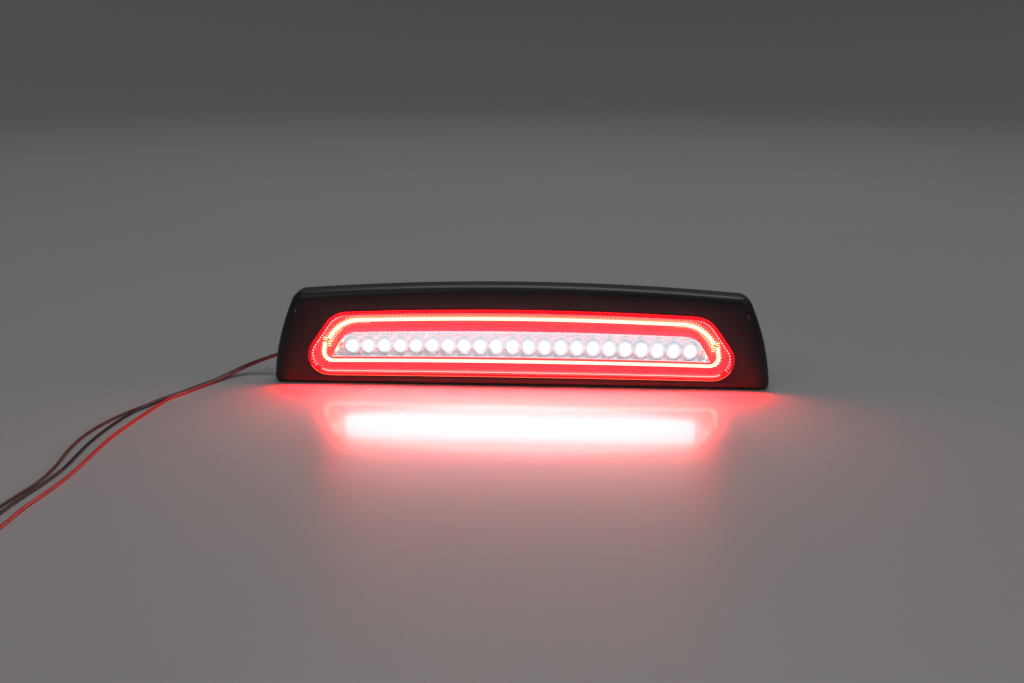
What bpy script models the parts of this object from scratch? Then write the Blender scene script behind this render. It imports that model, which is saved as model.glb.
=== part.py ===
"""Third brake light for a pickup cab: halo stop lamp with a white cargo window.

Frame: origin at the middle of the bottom of the lamp, +X to the viewer's right,
-Y out of the lens, +Z up. Sizes below are in millimetres; MM turns them into metres.
A depth is counted backwards from the front of the lens.
"""
import math

import bmesh
import bpy
from mathutils import Vector

MM = 0.001

# Driving dimensions, in millimetres.
DEPTH = 46.0              # lens front to the ends of the studs
ARCH = 0.042 / 113 ** 2   # how the lamp bows over the cab: z is scaled by 1 - ARCH * x * x
GAP = 0.3                 # clearance between neighbouring pieces
FACE = 2.5                # depth of the bezel's front face
SKIRT_BACK = 22.0         # depth of the bezel's back edge and of the rear housing's back
WALL = 2.4                # wall of the mouldings
WELL_WALL = 2.0           # wall round the well that holds the lens
LEDGE_FRONT = 13.3        # depth of the ledge in the well that carries the lens seal
WELL_BACK = 15.0          # depth of the back of the well
LENS_THICK = 2.6
LENS_WALL = 2.4           # wall of the lens skirt
LENS_BACK = 11.7          # depth of the back of the lens skirt
TROUGH_FRONT = 6.0        # depth of the front edge of the trough behind the red lens
TROUGH_FLOOR = 11.7       # depth of the front of the trough's floor
TROUGH_WALL = 1.2
OPTICS_BACK = 15.3        # depth of the back of the reflectors, just in front of the board
CUPS_FRONT = 9.0          # depth of the front of the chromed plate
CUP_MOUTH, CUP_NECK = 5.9, 4.75
HALO_FRONT = 7.0          # depth of the front of the light guides
BOARD_FRONT = 16.0
BOARD_BACK = 17.6
PLATE_FRONT = 19.5        # depth of the front of the rear plate
TUB_BACK = 44.0           # depth of the back of the rear tub
SOLDER = 0.05             # gap under a soldered part
LED_PITCH = 12.0
LED_COUNT = 22
LED_HEIGHT = 27.6         # height of the row of cargo LEDs before the arch
WIRE = 1.8                # outer diameter of a lead
WIRE_PITCH = 2.1          # spacing of the leads where they lie together

# Outlines, as rounded trapezoids: half width and height of the bottom and top corners,
# corner radii, and how far the slanted side bows outwards.
BEZEL = dict(bottom=(186.8, 0.0), top=(169.0, 76.0), radii=(5.0, 10.0), bow=2.6)
LENS = dict(bottom=(172.8, 7.2), top=(138.7, 58.2), radii=(16.6, 19.0), bow=0.0)
WINDOW = dict(bottom=(141.2, 22.4), top=(129.7, 42.8), radii=(0.9, 13.0), bow=0.0)
CUPS = dict(bottom=(142.4, 20.4), top=(130.2, 43.6), radii=(0.9, 13.5), bow=0.0)
UPPER_HALO = dict(bottom=(150.0, 20.9), top=(134.3, 51.6), radii=(1.0, 26.0), bow=0.0)
LOWER_HALO = dict(bottom=(148.3, 18.1), top=(145.4, 36.0), radii=(6.8, 1.0), bow=0.0)
TUB = dict(bottom=(112.0, 11.0), top=(112.0, 55.0), radii=(8.0, 8.0), bow=0.0)

HALO_WIDTH = (3.8, 3.0)   # width of the upper and of the lower guide
HALO_THICK = 4.2
UPPER_END = 35.4          # height where the upper guide stops
LOWER_END = 33.6          # height where the lower guide stops

BOTTOM_STEPS, CORNER_STEPS, SIDE_STEPS, TOP_STEPS = 4, 5, 3, 4

# Places of fasteners, as (x, height before the arch).
CASE_SCREWS = ((172, 14), (159, 62), (62, 67.4), (-62, 67.4), (-159, 62), (-172, 14))
BOARD_POSTS = ((124, 48.5), (124, 15.2), (-124, 48.5), (-124, 15.2))
STUDS = {"left": (-166, 38), "right": (166, 38)}
VENT = (60, 20)

# Where the leads leave: height, depth, and where the grommet's snout ends.
EXIT_HEIGHT = 22.0
EXIT_DEPTH = 34.0
SNOUT_END = -130.0

# The leads' routes over the table, in x, y, z. The bundle is common to all three.
BUNDLE = [
    (-130.3, 11.0, 22.0), (-140.0, 11.0, 21.8), (-155.0, 11.0, 20.6), (-170.0, 11.0, 18.2),
    (-183.0, 10.6, 15.0), (-194.0, 9.2, 11.8), (-204.5, 6.0, 8.4), (-214.0, 0.6, 5.2),
    (-222.5, -9.0, 2.6), (-230.0, -22.0, 1.2), (-237.5, -37.0, 1.0), (-244.5, -52.0, 1.0),
]
TAILS = {
    "wire_red": [
        (-250.0, -68.0, 1.0), (-253.6, -90.0, 1.0), (-257.6, -120.0, 1.0), (-260.6, -152.0, 1.0),
        (-260.6, -186.0, 1.0), (-260.2, -208.0, 1.0), (-260.8, -229.0, 1.0), (-263.2, -251.0, 1.0),
        (-265.6, -272.0, 1.0), (-266.4, -297.0, 1.0), (-269.5, -318.0, 1.2), (-276.5, -337.0, 2.8),
        (-283.2, -351.0, 5.6), (-285.6, -362.0, 6.5), (-286.0, -367.7, 6.5),
    ],
    "wire_black": [
        (-252.6, -68.0, 1.0), (-258.8, -84.0, 1.0), (-265.2, -102.0, 1.0), (-269.2, -130.0, 1.0),
        (-270.6, -160.0, 1.0), (-269.4, -186.0, 1.0), (-268.4, -210.0, 1.0), (-270.2, -234.0, 1.0),
        (-273.6, -258.0, 1.0), (-275.8, -282.0, 1.0), (-277.6, -306.0, 1.0), (-282.0, -330.0, 2.4),
        (-287.6, -348.0, 5.4), (-289.7, -361.0, 6.5), (-290.0, -367.7, 6.5),
    ],
    "wire_brown": [
        (-255.2, -68.0, 1.0), (-261.6, -84.0, 1.0), (-269.8, -103.0, 1.0), (-276.6, -128.0, 1.0),
        (-279.4, -154.0, 1.0), (-278.0, -180.0, 1.0), (-274.6, -206.0, 1.0), (-274.2, -232.0, 1.0),
        (-277.8, -256.0, 1.0), (-281.6, -280.0, 1.0), (-284.4, -304.0, 1.0), (-289.0, -328.0, 2.4),
        (-293.0, -347.0, 5.4), (-294.0, -361.0, 6.5), (-294.0, -367.7, 6.5),
    ],
}
WIRE_SIDE = {"wire_red": 1, "wire_black": 0, "wire_brown": -1}
WIRE_POINTS = 60
PLUG_BACK = -368.0        # y of the connector's back face, which the leads enter
PLUG_X = -290.0
PLUG_Z = 6.5              # height of its row of terminals
PLUG_WIDE, PLUG_LONG, PLUG_TALL = 18.0, 28.0, 12.6
PIN_PITCH = 4.0
BLADE = 1.1               # half thickness of the lock's blade


def clear_scene():
    for thing in list(bpy.data.objects):
        bpy.data.objects.remove(thing, do_unlink=True)


def material(name, colour, roughness=0.5, metallic=0.0, alpha=1.0):
    made = bpy.data.materials.new(name)
    made.use_nodes = True
    shader = made.node_tree.nodes["Principled BSDF"]
    shader.inputs["Base Color"].default_value = (*colour, 1.0)
    shader.inputs["Roughness"].default_value = roughness
    shader.inputs["Metallic"].default_value = metallic
    shader.inputs["Alpha"].default_value = alpha
    made.diffuse_color = (*colour, alpha)
    return made


def place(x, depth, z):
    """A point in metres from its width, depth behind the lens front, and height."""
    return Vector((x * MM, (depth - DEPTH / 2) * MM, z * MM))


def arched(x, z):
    return z * (1.0 - ARCH * x * x)


# ---- outlines -------------------------------------------------------------

def corner_arc(corner, before, after, radius, steps):
    """Points of the arc that rounds the corner between two unit directions."""
    turn = before.angle(after)
    run = radius * math.tan(turn / 2)
    inward = Vector((-before.y, before.x))
    centre = corner - before * run + inward * radius
    start = corner - before * run - centre
    points = []
    for step in range(steps + 1):
        angle = turn * step / steps
        c, s = math.cos(angle), math.sin(angle)
        points.append(centre + Vector((start.x * c - start.y * s, start.x * s + start.y * c)))
    return points


def outline(shape, grow=0.0, bottom=None, top=None, flat=False):
    """Closed loop of (x, z) round a shape, grown sideways, and down and up if those differ."""
    bottom = grow if bottom is None else bottom
    top = grow if top is None else top
    low, high = Vector(shape["bottom"]), Vector(shape["top"])
    up_side = (high - low).normalized()
    outward = Vector((up_side.y, -up_side.x))
    on_side = low + outward * grow
    low_z, high_z = low.y - bottom, high.y + top

    def side_at(z):
        return on_side + up_side * ((z - on_side.y) / up_side.y)

    low_corner, high_corner = side_at(low_z), side_at(high_z)
    radii = [max(radius + grow, 0.6) for radius in shape["radii"]]
    right, left = Vector((1, 0)), Vector((-1, 0))
    low_arc = corner_arc(low_corner, right, up_side, radii[0], CORNER_STEPS)
    high_arc = corner_arc(high_corner, up_side, left, radii[1], CORNER_STEPS)
    half = [Vector((low_arc[0].x * i / BOTTOM_STEPS, low_z)) for i in range(BOTTOM_STEPS)]
    half += low_arc
    for i in range(1, SIDE_STEPS):
        part = i / SIDE_STEPS
        point = low_arc[-1].lerp(high_arc[0], part)
        half.append(point + outward * shape["bow"] * 4 * part * (1 - part))
    half += high_arc
    half += [Vector((high_arc[-1].x * (1 - i / TOP_STEPS), high_z)) for i in range(1, TOP_STEPS + 1)]
    loop = half + [Vector((-point.x, point.y)) for point in reversed(half[1:-1])]
    if flat:
        return [(point.x, point.y) for point in loop]
    return [(point.x, arched(point.x, point.y)) for point in loop]


# ---- bodies ---------------------------------------------------------------

def finish_mesh(name, mesh_data, look, smooth_angle=35):
    bmesh.ops.recalc_face_normals(mesh_data, faces=mesh_data.faces)
    mesh = bpy.data.meshes.new(name)
    mesh_data.to_mesh(mesh)
    mesh_data.free()
    mesh.shade_smooth()
    mesh.set_sharp_from_angle(angle=math.radians(smooth_angle))
    mesh.materials.append(look)
    thing = bpy.data.objects.new(name, mesh)
    bpy.context.scene.collection.objects.link(thing)
    return thing


def bridge(mesh_data, loops, closed=False):
    """Skin a list of vertex loops of equal length, and join the last to the first if closed."""
    pairs = list(zip(loops, loops[1:]))
    if closed:
        pairs.append((loops[-1], loops[0]))
    for first, second in pairs:
        count = len(first)
        for i in range(count):
            j = (i + 1) % count
            mesh_data.faces.new((first[i], first[j], second[j], second[i]))


def loft(name, sections, look, ring=False):
    """A body through outline sections (loop, depth): a ring, or a solid with flat ends."""
    data = bmesh.new()
    loops = [[data.verts.new(place(x, depth, z)) for x, z in loop] for loop, depth in sections]
    bridge(data, loops, closed=ring)
    if not ring:
        data.faces.new(loops[0])
        data.faces.new(loops[-1])
    return finish_mesh(name, data, look)


def turned_into(data, profile, centre, axis, sides):
    """Add a turned body: profile holds (radius, distance along the axis), flat at both ends."""
    axis = Vector(axis).normalized()
    across = axis.orthogonal().normalized()
    other = axis.cross(across)
    loops = []
    for radius, along in profile:
        loop = []
        for i in range(sides):
            angle = 2 * math.pi * (i + 0.5) / sides
            spoke = across * math.cos(angle) + other * math.sin(angle)
            loop.append(data.verts.new(centre + (axis * along + spoke * radius) * MM))
        loops.append(loop)
    bridge(data, loops)
    data.faces.new(loops[0])
    data.faces.new(loops[-1])


def turned(name, profile, centre, look, axis=(0, 1, 0), sides=12):
    data = bmesh.new()
    turned_into(data, profile, centre, axis, sides)
    return finish_mesh(name, data, look)


def turned_tool(name, profile, centres, look, sides):
    """Boolean tool of equal turned bodies, one at each centre."""
    data = bmesh.new()
    for centre in centres:
        turned_into(data, profile, centre, (0, 1, 0), sides)
    return finish_mesh(name, data, look)


def washer(name, radius, start, span, centre, look, sides):
    """A flat disc along +Y with the given number of sides."""
    return turned(name, [(radius, start), (radius, start + span)], centre, look, sides=sides)


def block(name, low, high, look, bevel=0.0):
    """A rectangular block between two corners (x, depth, z), with its edges cut back."""
    data = bmesh.new()
    a, b = place(*low), place(*high)
    for vertex in bmesh.ops.create_cube(data, size=1.0)["verts"]:
        vertex.co = Vector([a[i] + (b[i] - a[i]) * (vertex.co[i] + 0.5) for i in range(3)])
    if bevel:
        bmesh.ops.bevel(data, geom=list(data.edges), offset=bevel * MM, segments=1, affect='EDGES')
    return finish_mesh(name, data, look, smooth_angle=20)


def combine(target, tool, operation):
    """Boolean with a hidden tool object."""
    tool.hide_render = True
    tool.display_type = 'WIRE'
    change = target.modifiers.new(tool.name, 'BOOLEAN')
    change.operation = operation
    change.object = tool
    change.solver = 'EXACT'


# ---- the case -------------------------------------------------------------

def front_bezel(looks):
    """Front frame: rounded face, skirt, and a well with a ledge that the lens sits in."""
    def face(inset, low, high):
        return outline(BEZEL, -inset, bottom=-low, top=-high)

    def well(grow):
        return outline(LENS, grow)

    sections = [
        (face(11.0, 2.0, 6.0), FACE), (face(5.5, 0.9, 3.0), FACE + 1.4),
        (face(2.0, 0.25, 1.0), FACE + 3.9), (face(0, 0, 0), FACE + 7.5),
        (face(0, 0, 0), SKIRT_BACK), (face(WALL, WALL, WALL), SKIRT_BACK),
        (face(WALL, WALL, WALL), FACE + 7.2), (face(4.4, WALL, 3.4), FACE + 4.6),
        (face(11.4, WALL + 0.4, 6.4), FACE + WALL),
        (well(GAP + WELL_WALL), FACE + WALL), (well(GAP + WELL_WALL), WELL_BACK),
        (well(-LENS_WALL - GAP), WELL_BACK), (well(-LENS_WALL - GAP), LEDGE_FRONT),
        (well(GAP), LEDGE_FRONT), (well(GAP), FACE),
    ]
    bezel = loft("front_bezel", sections, looks["case"], ring=True)
    spots = [place(x, 0, arched(x, z)) for x, z in CASE_SCREWS]
    bosses = turned_tool("boss_tool", [(3.4, FACE + 1.6), (3.4, PLATE_FRONT - GAP)], spots, looks["case"], 12)
    pilots = turned_tool("pilot_tool", [(1.6, 8.0), (1.6, SKIRT_BACK)], spots, looks["case"], 8)
    combine(bezel, bosses, 'UNION')
    combine(bezel, pilots, 'DIFFERENCE')


def rear_housing(looks):
    """Back plate that closes the bezel, with the tub that goes through the cab."""
    def plate():
        return outline(BEZEL, -WALL - GAP)

    def tub(grow):
        return outline(TUB, grow, flat=True)

    sections = [
        (tub(-2.2), TUB_BACK - 2.2), (tub(-2.2), PLATE_FRONT), (plate(), PLATE_FRONT),
        (plate(), SKIRT_BACK),
        (tub(0), SKIRT_BACK), (tub(-0.8), TUB_BACK - 1.0), (tub(-1.8), TUB_BACK),
    ]
    housing = loft("rear_housing", sections, looks["case"])
    spots = [place(x, 0, arched(x, z)) for x, z in BOARD_POSTS]
    post = [(1.6, BOARD_FRONT - 1.8), (2.2, BOARD_FRONT - 1.2), (2.2, BOARD_FRONT - GAP),
            (1.3, BOARD_FRONT - GAP), (1.3, BOARD_BACK + GAP), (3.2, BOARD_BACK + GAP), (3.2, 20.5)]
    combine(housing, turned_tool("post_tool", post, spots, looks["case"], 10), 'UNION')
    holes = bmesh.new()
    through = (PLATE_FRONT - 1.5, SKIRT_BACK + 2.0)
    for x, z in CASE_SCREWS:
        turned_into(holes, [(1.7, at) for at in through], place(x, 0, arched(x, z)), (0, 1, 0), 8)
    for x, z in STUDS.values():
        turned_into(holes, [(2.9, at) for at in through], place(x, 0, arched(x, z)), (0, 1, 0), 12)
    turned_into(holes, [(4.2, -4.0), (4.2, 4.0)], place(-TUB["top"][0], EXIT_DEPTH, EXIT_HEIGHT), (1, 0, 0), 12)
    vent = place(VENT[0], TUB_BACK, VENT[1])
    turned_into(holes, [(2.2, -4.0), (2.2, 4.0)], vent, (0, 1, 0), 10)
    combine(housing, finish_mesh("housing_hole_tool", holes, looks["case"]), 'DIFFERENCE')
    turned("breather_vent", [(1.9, -2.0), (1.9, GAP), (4.0, GAP), (4.0, 1.2)], vent, looks["vent"])


def seals_and_fasteners(looks):
    """Gaskets, the screws that hold the case and the board, and the fixing studs."""
    def ring(name, shape, outer, inner, front, back, look, flat=False):
        corners = ((outer, front), (inner, front), (inner, back), (outer, back))
        loft(name, [(outline(shape, grow, flat=flat), depth) for grow, depth in corners], look, ring=True)

    gasket = SKIRT_BACK + GAP
    ring("mounting_gasket", TUB, 7.5, 1.5, gasket, gasket + 4.0, looks["foam"], flat=True)
    ring("lens_seal", LENS, -0.2, -2.2, LENS_BACK + GAP, LEDGE_FRONT - GAP, looks["rubber"])
    ring("housing_seal", BEZEL, -WALL - 0.4, -WALL - 2.0, PLATE_FRONT - 1.9, PLATE_FRONT - GAP,
         looks["rubber"])
    head = SKIRT_BACK + GAP
    screw = [(1.3, 10.0), (1.3, head), (2.9, head), (2.9, head + 1.7), (2.0, head + 2.3)]
    for number, (x, z) in enumerate(CASE_SCREWS, start=1):
        turned("case_screw_%d" % number, screw, place(x, 0, arched(x, z)), looks["steel"], sides=8)
    for side, (x, z) in STUDS.items():
        spot = place(x, 0, arched(x, z))
        turned("stud_" + side, [(5.0, 15.6), (5.0, 19.2), (2.5, 19.2), (2.5, DEPTH - 0.6), (2.0, DEPTH)],
               spot, looks["steel"])
        nut = washer("stud_nut_" + side, 4.6, 32.8, 4.2, spot, looks["steel"], 6)
        combine(nut, washer("flange_tool_" + side, 6.2, 32.2, 1.2, spot, looks["steel"], 16), 'UNION')
        combine(nut, washer("nut_hole_tool_" + side, 2.85, 30.0, 10.0, spot, looks["steel"], 12), 'DIFFERENCE')


# ---- the optics -----------------------------------------------------------

def lenses(looks):
    """Two-colour front lens: a red cap with a skirt, and the clear cargo window in it."""
    loft("lens_red", [
        (outline(LENS, -1.6), 0.0), (outline(LENS, -0.4), 0.5), (outline(LENS), 1.7),
        (outline(LENS), LENS_BACK), (outline(LENS, -LENS_WALL), LENS_BACK),
        (outline(LENS, -LENS_WALL), LENS_THICK), (outline(WINDOW), LENS_THICK), (outline(WINDOW), 0.0),
    ], looks["red_lens"], ring=True)
    pane = outline(WINDOW, -GAP)
    loft("lens_clear_window", [(pane, 0.0), (pane, LENS_THICK)], looks["clear"])


def guide_sweep(name, right_path, width, look, leg_height):
    """A bar along a path and its mirror image, with a leg to the board at each end."""
    path = right_path + [(-x, z) for x, z in reversed(right_path) if abs(x) > 0.01]
    data = bmesh.new()
    loops = []
    for i, (x, z) in enumerate(path):
        before, after = path[max(i - 1, 0)], path[min(i + 1, len(path) - 1)]
        along = Vector((after[0] - before[0], after[1] - before[1])).normalized()
        side = Vector((-along.y, along.x)) * width / 2
        back = HALO_FRONT + HALO_THICK
        corners = ((1, HALO_FRONT), (-1, HALO_FRONT), (-1, back), (1, back))
        loops.append([data.verts.new(place(x + side.x * s, d, z + side.y * s)) for s, d in corners])
    bridge(data, loops)
    data.faces.new(loops[0])
    data.faces.new(loops[-1])
    guide = finish_mesh(name, data, look)
    end_x, end_z = right_path[0]
    reach = width / 2 - 0.2
    for sign in (1, -1):
        leg = block("%s_leg_tool_%d" % (name, sign),
                    (sign * end_x - reach, HALO_FRONT + 2, end_z + min(0, leg_height)),
                    (sign * end_x + reach, BOARD_FRONT - 1.4, end_z + max(0, leg_height)), look)
        combine(guide, leg, 'UNION')


def side_run(shape, low, high, steps):
    """Points up a shape's slanted right side between two heights."""
    bottom, top = Vector(shape["bottom"]), Vector(shape["top"])
    points = []
    for i in range(steps + 1):
        z = low + (high - low) * i / steps
        point = bottom.lerp(top, (z - bottom.y) / (top.y - bottom.y))
        points.append((point.x, arched(point.x, z)))
    return points


def halo_guides(looks):
    """Upper and lower acrylic light guides, which make the glowing ring."""
    upper_loop = outline(UPPER_HALO)
    upper_half = upper_loop[:len(upper_loop) // 2 + 1]
    arc_start = BOTTOM_STEPS + CORNER_STEPS + SIDE_STEPS
    upper = side_run(UPPER_HALO, UPPER_END, UPPER_END + 1.5, 1) + upper_half[arc_start:]
    guide_sweep("halo_guide_upper", upper, HALO_WIDTH[0], looks["guide"], 3.2)
    lower_loop = outline(LOWER_HALO)
    lower_half = lower_loop[:BOTTOM_STEPS + CORNER_STEPS + 1]
    lower = list(reversed(lower_half + side_run(LOWER_HALO, LOWER_END - 3.0, LOWER_END, 1)))
    guide_sweep("halo_guide_lower", lower, HALO_WIDTH[1], looks["guide"], -3.0)
    ends = {"upper": upper[0], "lower": lower[0]}
    middles = {"upper": 1.6, "lower": -1.5}
    for level, (x, z) in ends.items():
        for side, sign in (("left", -1), ("right", 1)):
            mid = z + middles[level]
            block("halo_led_%s_%s" % (level, side), (sign * x - 1.4, BOARD_FRONT - 1.1, mid - 1.3),
                  (sign * x + 1.4, BOARD_FRONT - SOLDER, mid + 1.3), looks["red_led"])
    return ends, middles


def reflectors(looks, ends, middles):
    """The trough behind the red lens, and the chromed plate with a cup for each cargo LED."""
    outer = outline(LENS, -LENS_WALL - 0.7)
    inner = outline(LENS, -LENS_WALL - 0.7 - TROUGH_WALL)
    hole = outline(CUPS, GAP)
    trough = loft("fluted_reflector", [
        (outer, TROUGH_FRONT), (outer, OPTICS_BACK), (inner, OPTICS_BACK),
        (inner, TROUGH_FLOOR + TROUGH_WALL), (hole, TROUGH_FLOOR + TROUGH_WALL), (hole, TROUGH_FLOOR),
        (inner, TROUGH_FLOOR), (inner, TROUGH_FRONT),
    ], looks["satin"], ring=True)
    for level, (x, z) in ends.items():
        for sign in (1, -1):
            mid = z + middles[level]
            slot = block("slot_tool_%s_%d" % (level, sign), (sign * x - 2.2, 10, mid - 2.1),
                         (sign * x + 2.2, 14.5, mid + 2.1), looks["satin"])
            combine(trough, slot, 'DIFFERENCE')
    cups = loft("cargo_reflector", [(outline(CUPS), CUPS_FRONT), (outline(CUPS), OPTICS_BACK)],
                looks["chrome"])
    bowl = [(CUP_MOUTH, CUPS_FRONT - 1.0), (CUP_NECK, OPTICS_BACK - GAP), (CUP_NECK, OPTICS_BACK + 1.2)]
    bowls = bmesh.new()
    for x in led_places():
        turned_into(bowls, bowl, place(x, 0, arched(x, LED_HEIGHT)), (0, 1, 0), 8)
    combine(cups, finish_mesh("bowl_tool", bowls, looks["chrome"]), 'DIFFERENCE')


def led_places():
    return [(i - (LED_COUNT - 1) / 2) * LED_PITCH for i in range(LED_COUNT)]


# ---- the electrics --------------------------------------------------------

def board_and_parts(looks):
    """The circuit board, its LEDs, and the driver parts on its back."""
    board = loft("led_board", [(outline(LENS, -5.0), BOARD_FRONT), (outline(LENS, -5.0), BOARD_BACK)],
                 looks["board"])
    spots = [place(x, 0, arched(x, z)) for x, z in BOARD_POSTS]
    combine(board, turned_tool("board_hole_tool", [(1.6, 14.0), (1.6, 19.0)], spots, looks["board"], 8),
            'DIFFERENCE')
    dome = [(1.6, 10.0), (3.1, 10.6), (4.1, 12.2), (4.3, 13.6), (4.3, BOARD_FRONT - SOLDER)]
    for number, x in enumerate(led_places(), start=1):
        spot = place(x, 0, arched(x, LED_HEIGHT))
        turned("cargo_led_%02d" % number, dome, spot, looks["white_led"], sides=8)
    back = BOARD_BACK + SOLDER
    block("driver_chip", (-66, back, 29), (-60, back + 2.2, 35), looks["chip"], bevel=0.3)
    block("reverse_diode", (-84, back, 38), (-77, back + 2.4, 42), looks["chip"], bevel=0.3)
    turned("filter_capacitor", [(4.0, back), (4.0, back + 8.0), (3.4, back + 8.6)],
           place(-42, 0, 43), looks["can"])
    block("lead_header", (-96, back, 25), (-89, back + 7.0, 35), looks["nylon"], bevel=0.4)


def grommet(looks):
    """Rubber grommet in the tub's left wall, with a tapered snout."""
    wall = TUB["top"][0]
    profile = [
        (4.8, wall - 4.8), (4.8, wall - 2.8), (3.9, wall - 2.8), (3.9, wall + GAP),
        (6.2, wall + GAP), (6.2, wall + 2.3), (5.0, wall + 3.0), (3.7, -SNOUT_END),
    ]
    turned("cable_grommet", profile, place(0, EXIT_DEPTH, EXIT_HEIGHT), looks["rubber"], axis=(-1, 0, 0))


def smooth_route(points, count):
    """Evenly numbered points on a smooth curve through the given ones."""
    knots = [Vector(point) for point in points]
    knots = [knots[0] * 2 - knots[1]] + knots + [knots[-1] * 2 - knots[-2]]
    fine = []
    for i in range(1, len(knots) - 2):
        a, b, c, d = knots[i - 1:i + 3]
        for step in range(20):
            t = step / 20
            fine.append(0.5 * ((2 * b) + (c - a) * t + (2 * a - 5 * b + 4 * c - d) * t * t
                               + (3 * b - a - 3 * c + d) * t * t * t))
    fine.append(knots[-2])
    lengths = [0.0]
    for first, second in zip(fine, fine[1:]):
        lengths.append(lengths[-1] + (second - first).length)
    route, at = [], 0
    for i in range(count):
        want = lengths[-1] * i / (count - 1)
        while at < len(fine) - 2 and lengths[at + 1] < want:
            at += 1
        span = lengths[at + 1] - lengths[at]
        route.append(fine[at].lerp(fine[at + 1], min(max((want - lengths[at]) / span, 0), 1)))
    return route


def lead_route(name):
    """A lead's own points: beside the bundle's middle line, then its own tail."""
    points = []
    for i, point in enumerate(BUNDLE):
        before, after = Vector(BUNDLE[max(i - 1, 0)]), Vector(BUNDLE[min(i + 1, len(BUNDLE) - 1)])
        along = (after - before).normalized()
        aside = Vector((-along.y, along.x, 0)).normalized() * WIRE_PITCH * WIRE_SIDE[name]
        points.append(Vector(point) + aside)
    return points + [Vector(point) for point in TAILS[name]]


def leads_outside(looks):
    """The three free leads on the table."""
    for name in TAILS:
        curve = bpy.data.curves.new(name, 'CURVE')
        curve.dimensions = '3D'
        curve.bevel_depth = WIRE / 2 * MM
        curve.bevel_resolution = 2
        curve.use_fill_caps = True
        route = smooth_route(lead_route(name), WIRE_POINTS)
        spline = curve.splines.new('POLY')
        spline.points.add(len(route) - 1)
        for knot, point in zip(spline.points, route):
            knot.co = (*(point * MM), 1.0)
        curve.materials.append(looks[name])
        bpy.context.scene.collection.objects.link(bpy.data.objects.new(name, curve))


def table_block(name, low, high, look, bevel):
    """A block between two corners in x, y, z from the part's own origin."""
    shift = Vector((0, DEPTH / 2, 0))
    return block(name, Vector(low) + shift, Vector(high) + shift, look, bevel)


def connector(looks):
    """Three-way sealed plug that the leads end in, lying on the table."""
    low, high = PLUG_X - PLUG_WIDE / 2, PLUG_X + PLUG_WIDE / 2
    front = PLUG_BACK - PLUG_LONG
    body = table_block("connector_body", (low, front, 0.0), (high, PLUG_BACK - 2.2, PLUG_TALL),
                       looks["connector"], 0.8)
    latch = table_block("latch_tool", (PLUG_X - 4, front + 3, 11.5), (PLUG_X + 4, front + 22, 15.2),
                        looks["connector"], 0.6)
    combine(body, latch, 'UNION')
    pins = [Vector((PLUG_X + PIN_PITCH * k, 0.0, PLUG_Z)) * MM for k in (-1, 0, 1)]
    combine(body, turned_tool("pin_hole_tool", [(1.5, front - 1), (1.5, front + 9)], pins,
                              looks["connector"], 8), 'DIFFERENCE')
    slot = table_block("lock_slot_tool", (high - 5.0 - GAP, front + 11 - GAP, PLUG_Z - BLADE - GAP),
                       (high + 1.0, front + 17 + GAP, PLUG_Z + BLADE + GAP), looks["connector"], 0.0)
    combine(body, slot, 'DIFFERENCE')
    table_block("connector_seal", (low + 1.5, PLUG_BACK - 1.9, 1.8), (high - 1.5, PLUG_BACK, 11.0),
                looks["silicone"], 0.5)
    lock = table_block("connector_lock", (high + GAP, front + 10, 3.4), (high + 1.9, front + 18, 9.6),
                       looks["lock"], 0.3)
    blade = table_block("lock_blade_tool", (high - 5.0, front + 11, PLUG_Z - BLADE),
                        (high + 1.0, front + 17, PLUG_Z + BLADE), looks["lock"], 0.0)
    combine(lock, blade, 'UNION')


def make_looks():
    return {
        "case": material("case_black", (0.016, 0.016, 0.018), 0.45),
        "red_lens": material("lens_red", (0.75, 0.01, 0.02), 0.08, alpha=0.6),
        "clear": material("lens_clear", (0.95, 0.96, 1.0), 0.04, alpha=0.25),
        "guide": material("guide_acrylic", (1.0, 0.35, 0.2), 0.15),
        "satin": material("reflector_satin", (0.7, 0.68, 0.68), 0.3, 1.0),
        "chrome": material("reflector_chrome", (0.86, 0.87, 0.9), 0.08, 1.0),
        "board": material("board_white", (0.82, 0.84, 0.82), 0.4),
        "white_led": material("led_white", (0.95, 0.96, 1.0), 0.2),
        "red_led": material("led_red", (0.9, 0.2, 0.1), 0.3),
        "chip": material("chip_black", (0.02, 0.02, 0.02), 0.5),
        "can": material("can_aluminium", (0.75, 0.76, 0.78), 0.35, 1.0),
        "nylon": material("header_nylon", (0.85, 0.83, 0.76), 0.5),
        "steel": material("zinc_steel", (0.62, 0.62, 0.6), 0.35, 1.0),
        "rubber": material("rubber_black", (0.02, 0.02, 0.02), 0.75),
        "foam": material("foam_grey", (0.09, 0.09, 0.095), 0.95),
        "vent": material("vent_membrane", (0.6, 0.6, 0.6), 0.8),
        "wire_red": material("jacket_red", (0.6, 0.02, 0.02), 0.35),
        "wire_black": material("jacket_black", (0.02, 0.02, 0.02), 0.35),
        "wire_brown": material("jacket_brown", (0.2, 0.07, 0.03), 0.35),
        "connector": material("connector_black", (0.025, 0.025, 0.027), 0.5),
        "lock": material("lock_orange", (0.8, 0.25, 0.03), 0.45),
        "silicone": material("seal_silicone", (0.15, 0.3, 0.2), 0.6),
    }


def main():
    clear_scene()
    looks = make_looks()
    front_bezel(looks)
    rear_housing(looks)
    seals_and_fasteners(looks)
    lenses(looks)
    ends, middles = halo_guides(looks)
    reflectors(looks, ends, middles)
    board_and_parts(looks)
    grommet(looks)
    leads_outside(looks)
    connector(looks)


main()
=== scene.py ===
"""Looks of the third brake light: lit halo stop lamp, white cargo window and loose leads.

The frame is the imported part: +X to the viewer's right, -Y out of the lens, +Z up, origin at
the middle of the bottom. Sizes below are in millimetres, and MM turns them into metres. A depth
is counted backwards from the front of the lens, as in the part.
"""
import math

import bmesh
import bpy
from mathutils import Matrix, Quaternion, Vector


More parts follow.
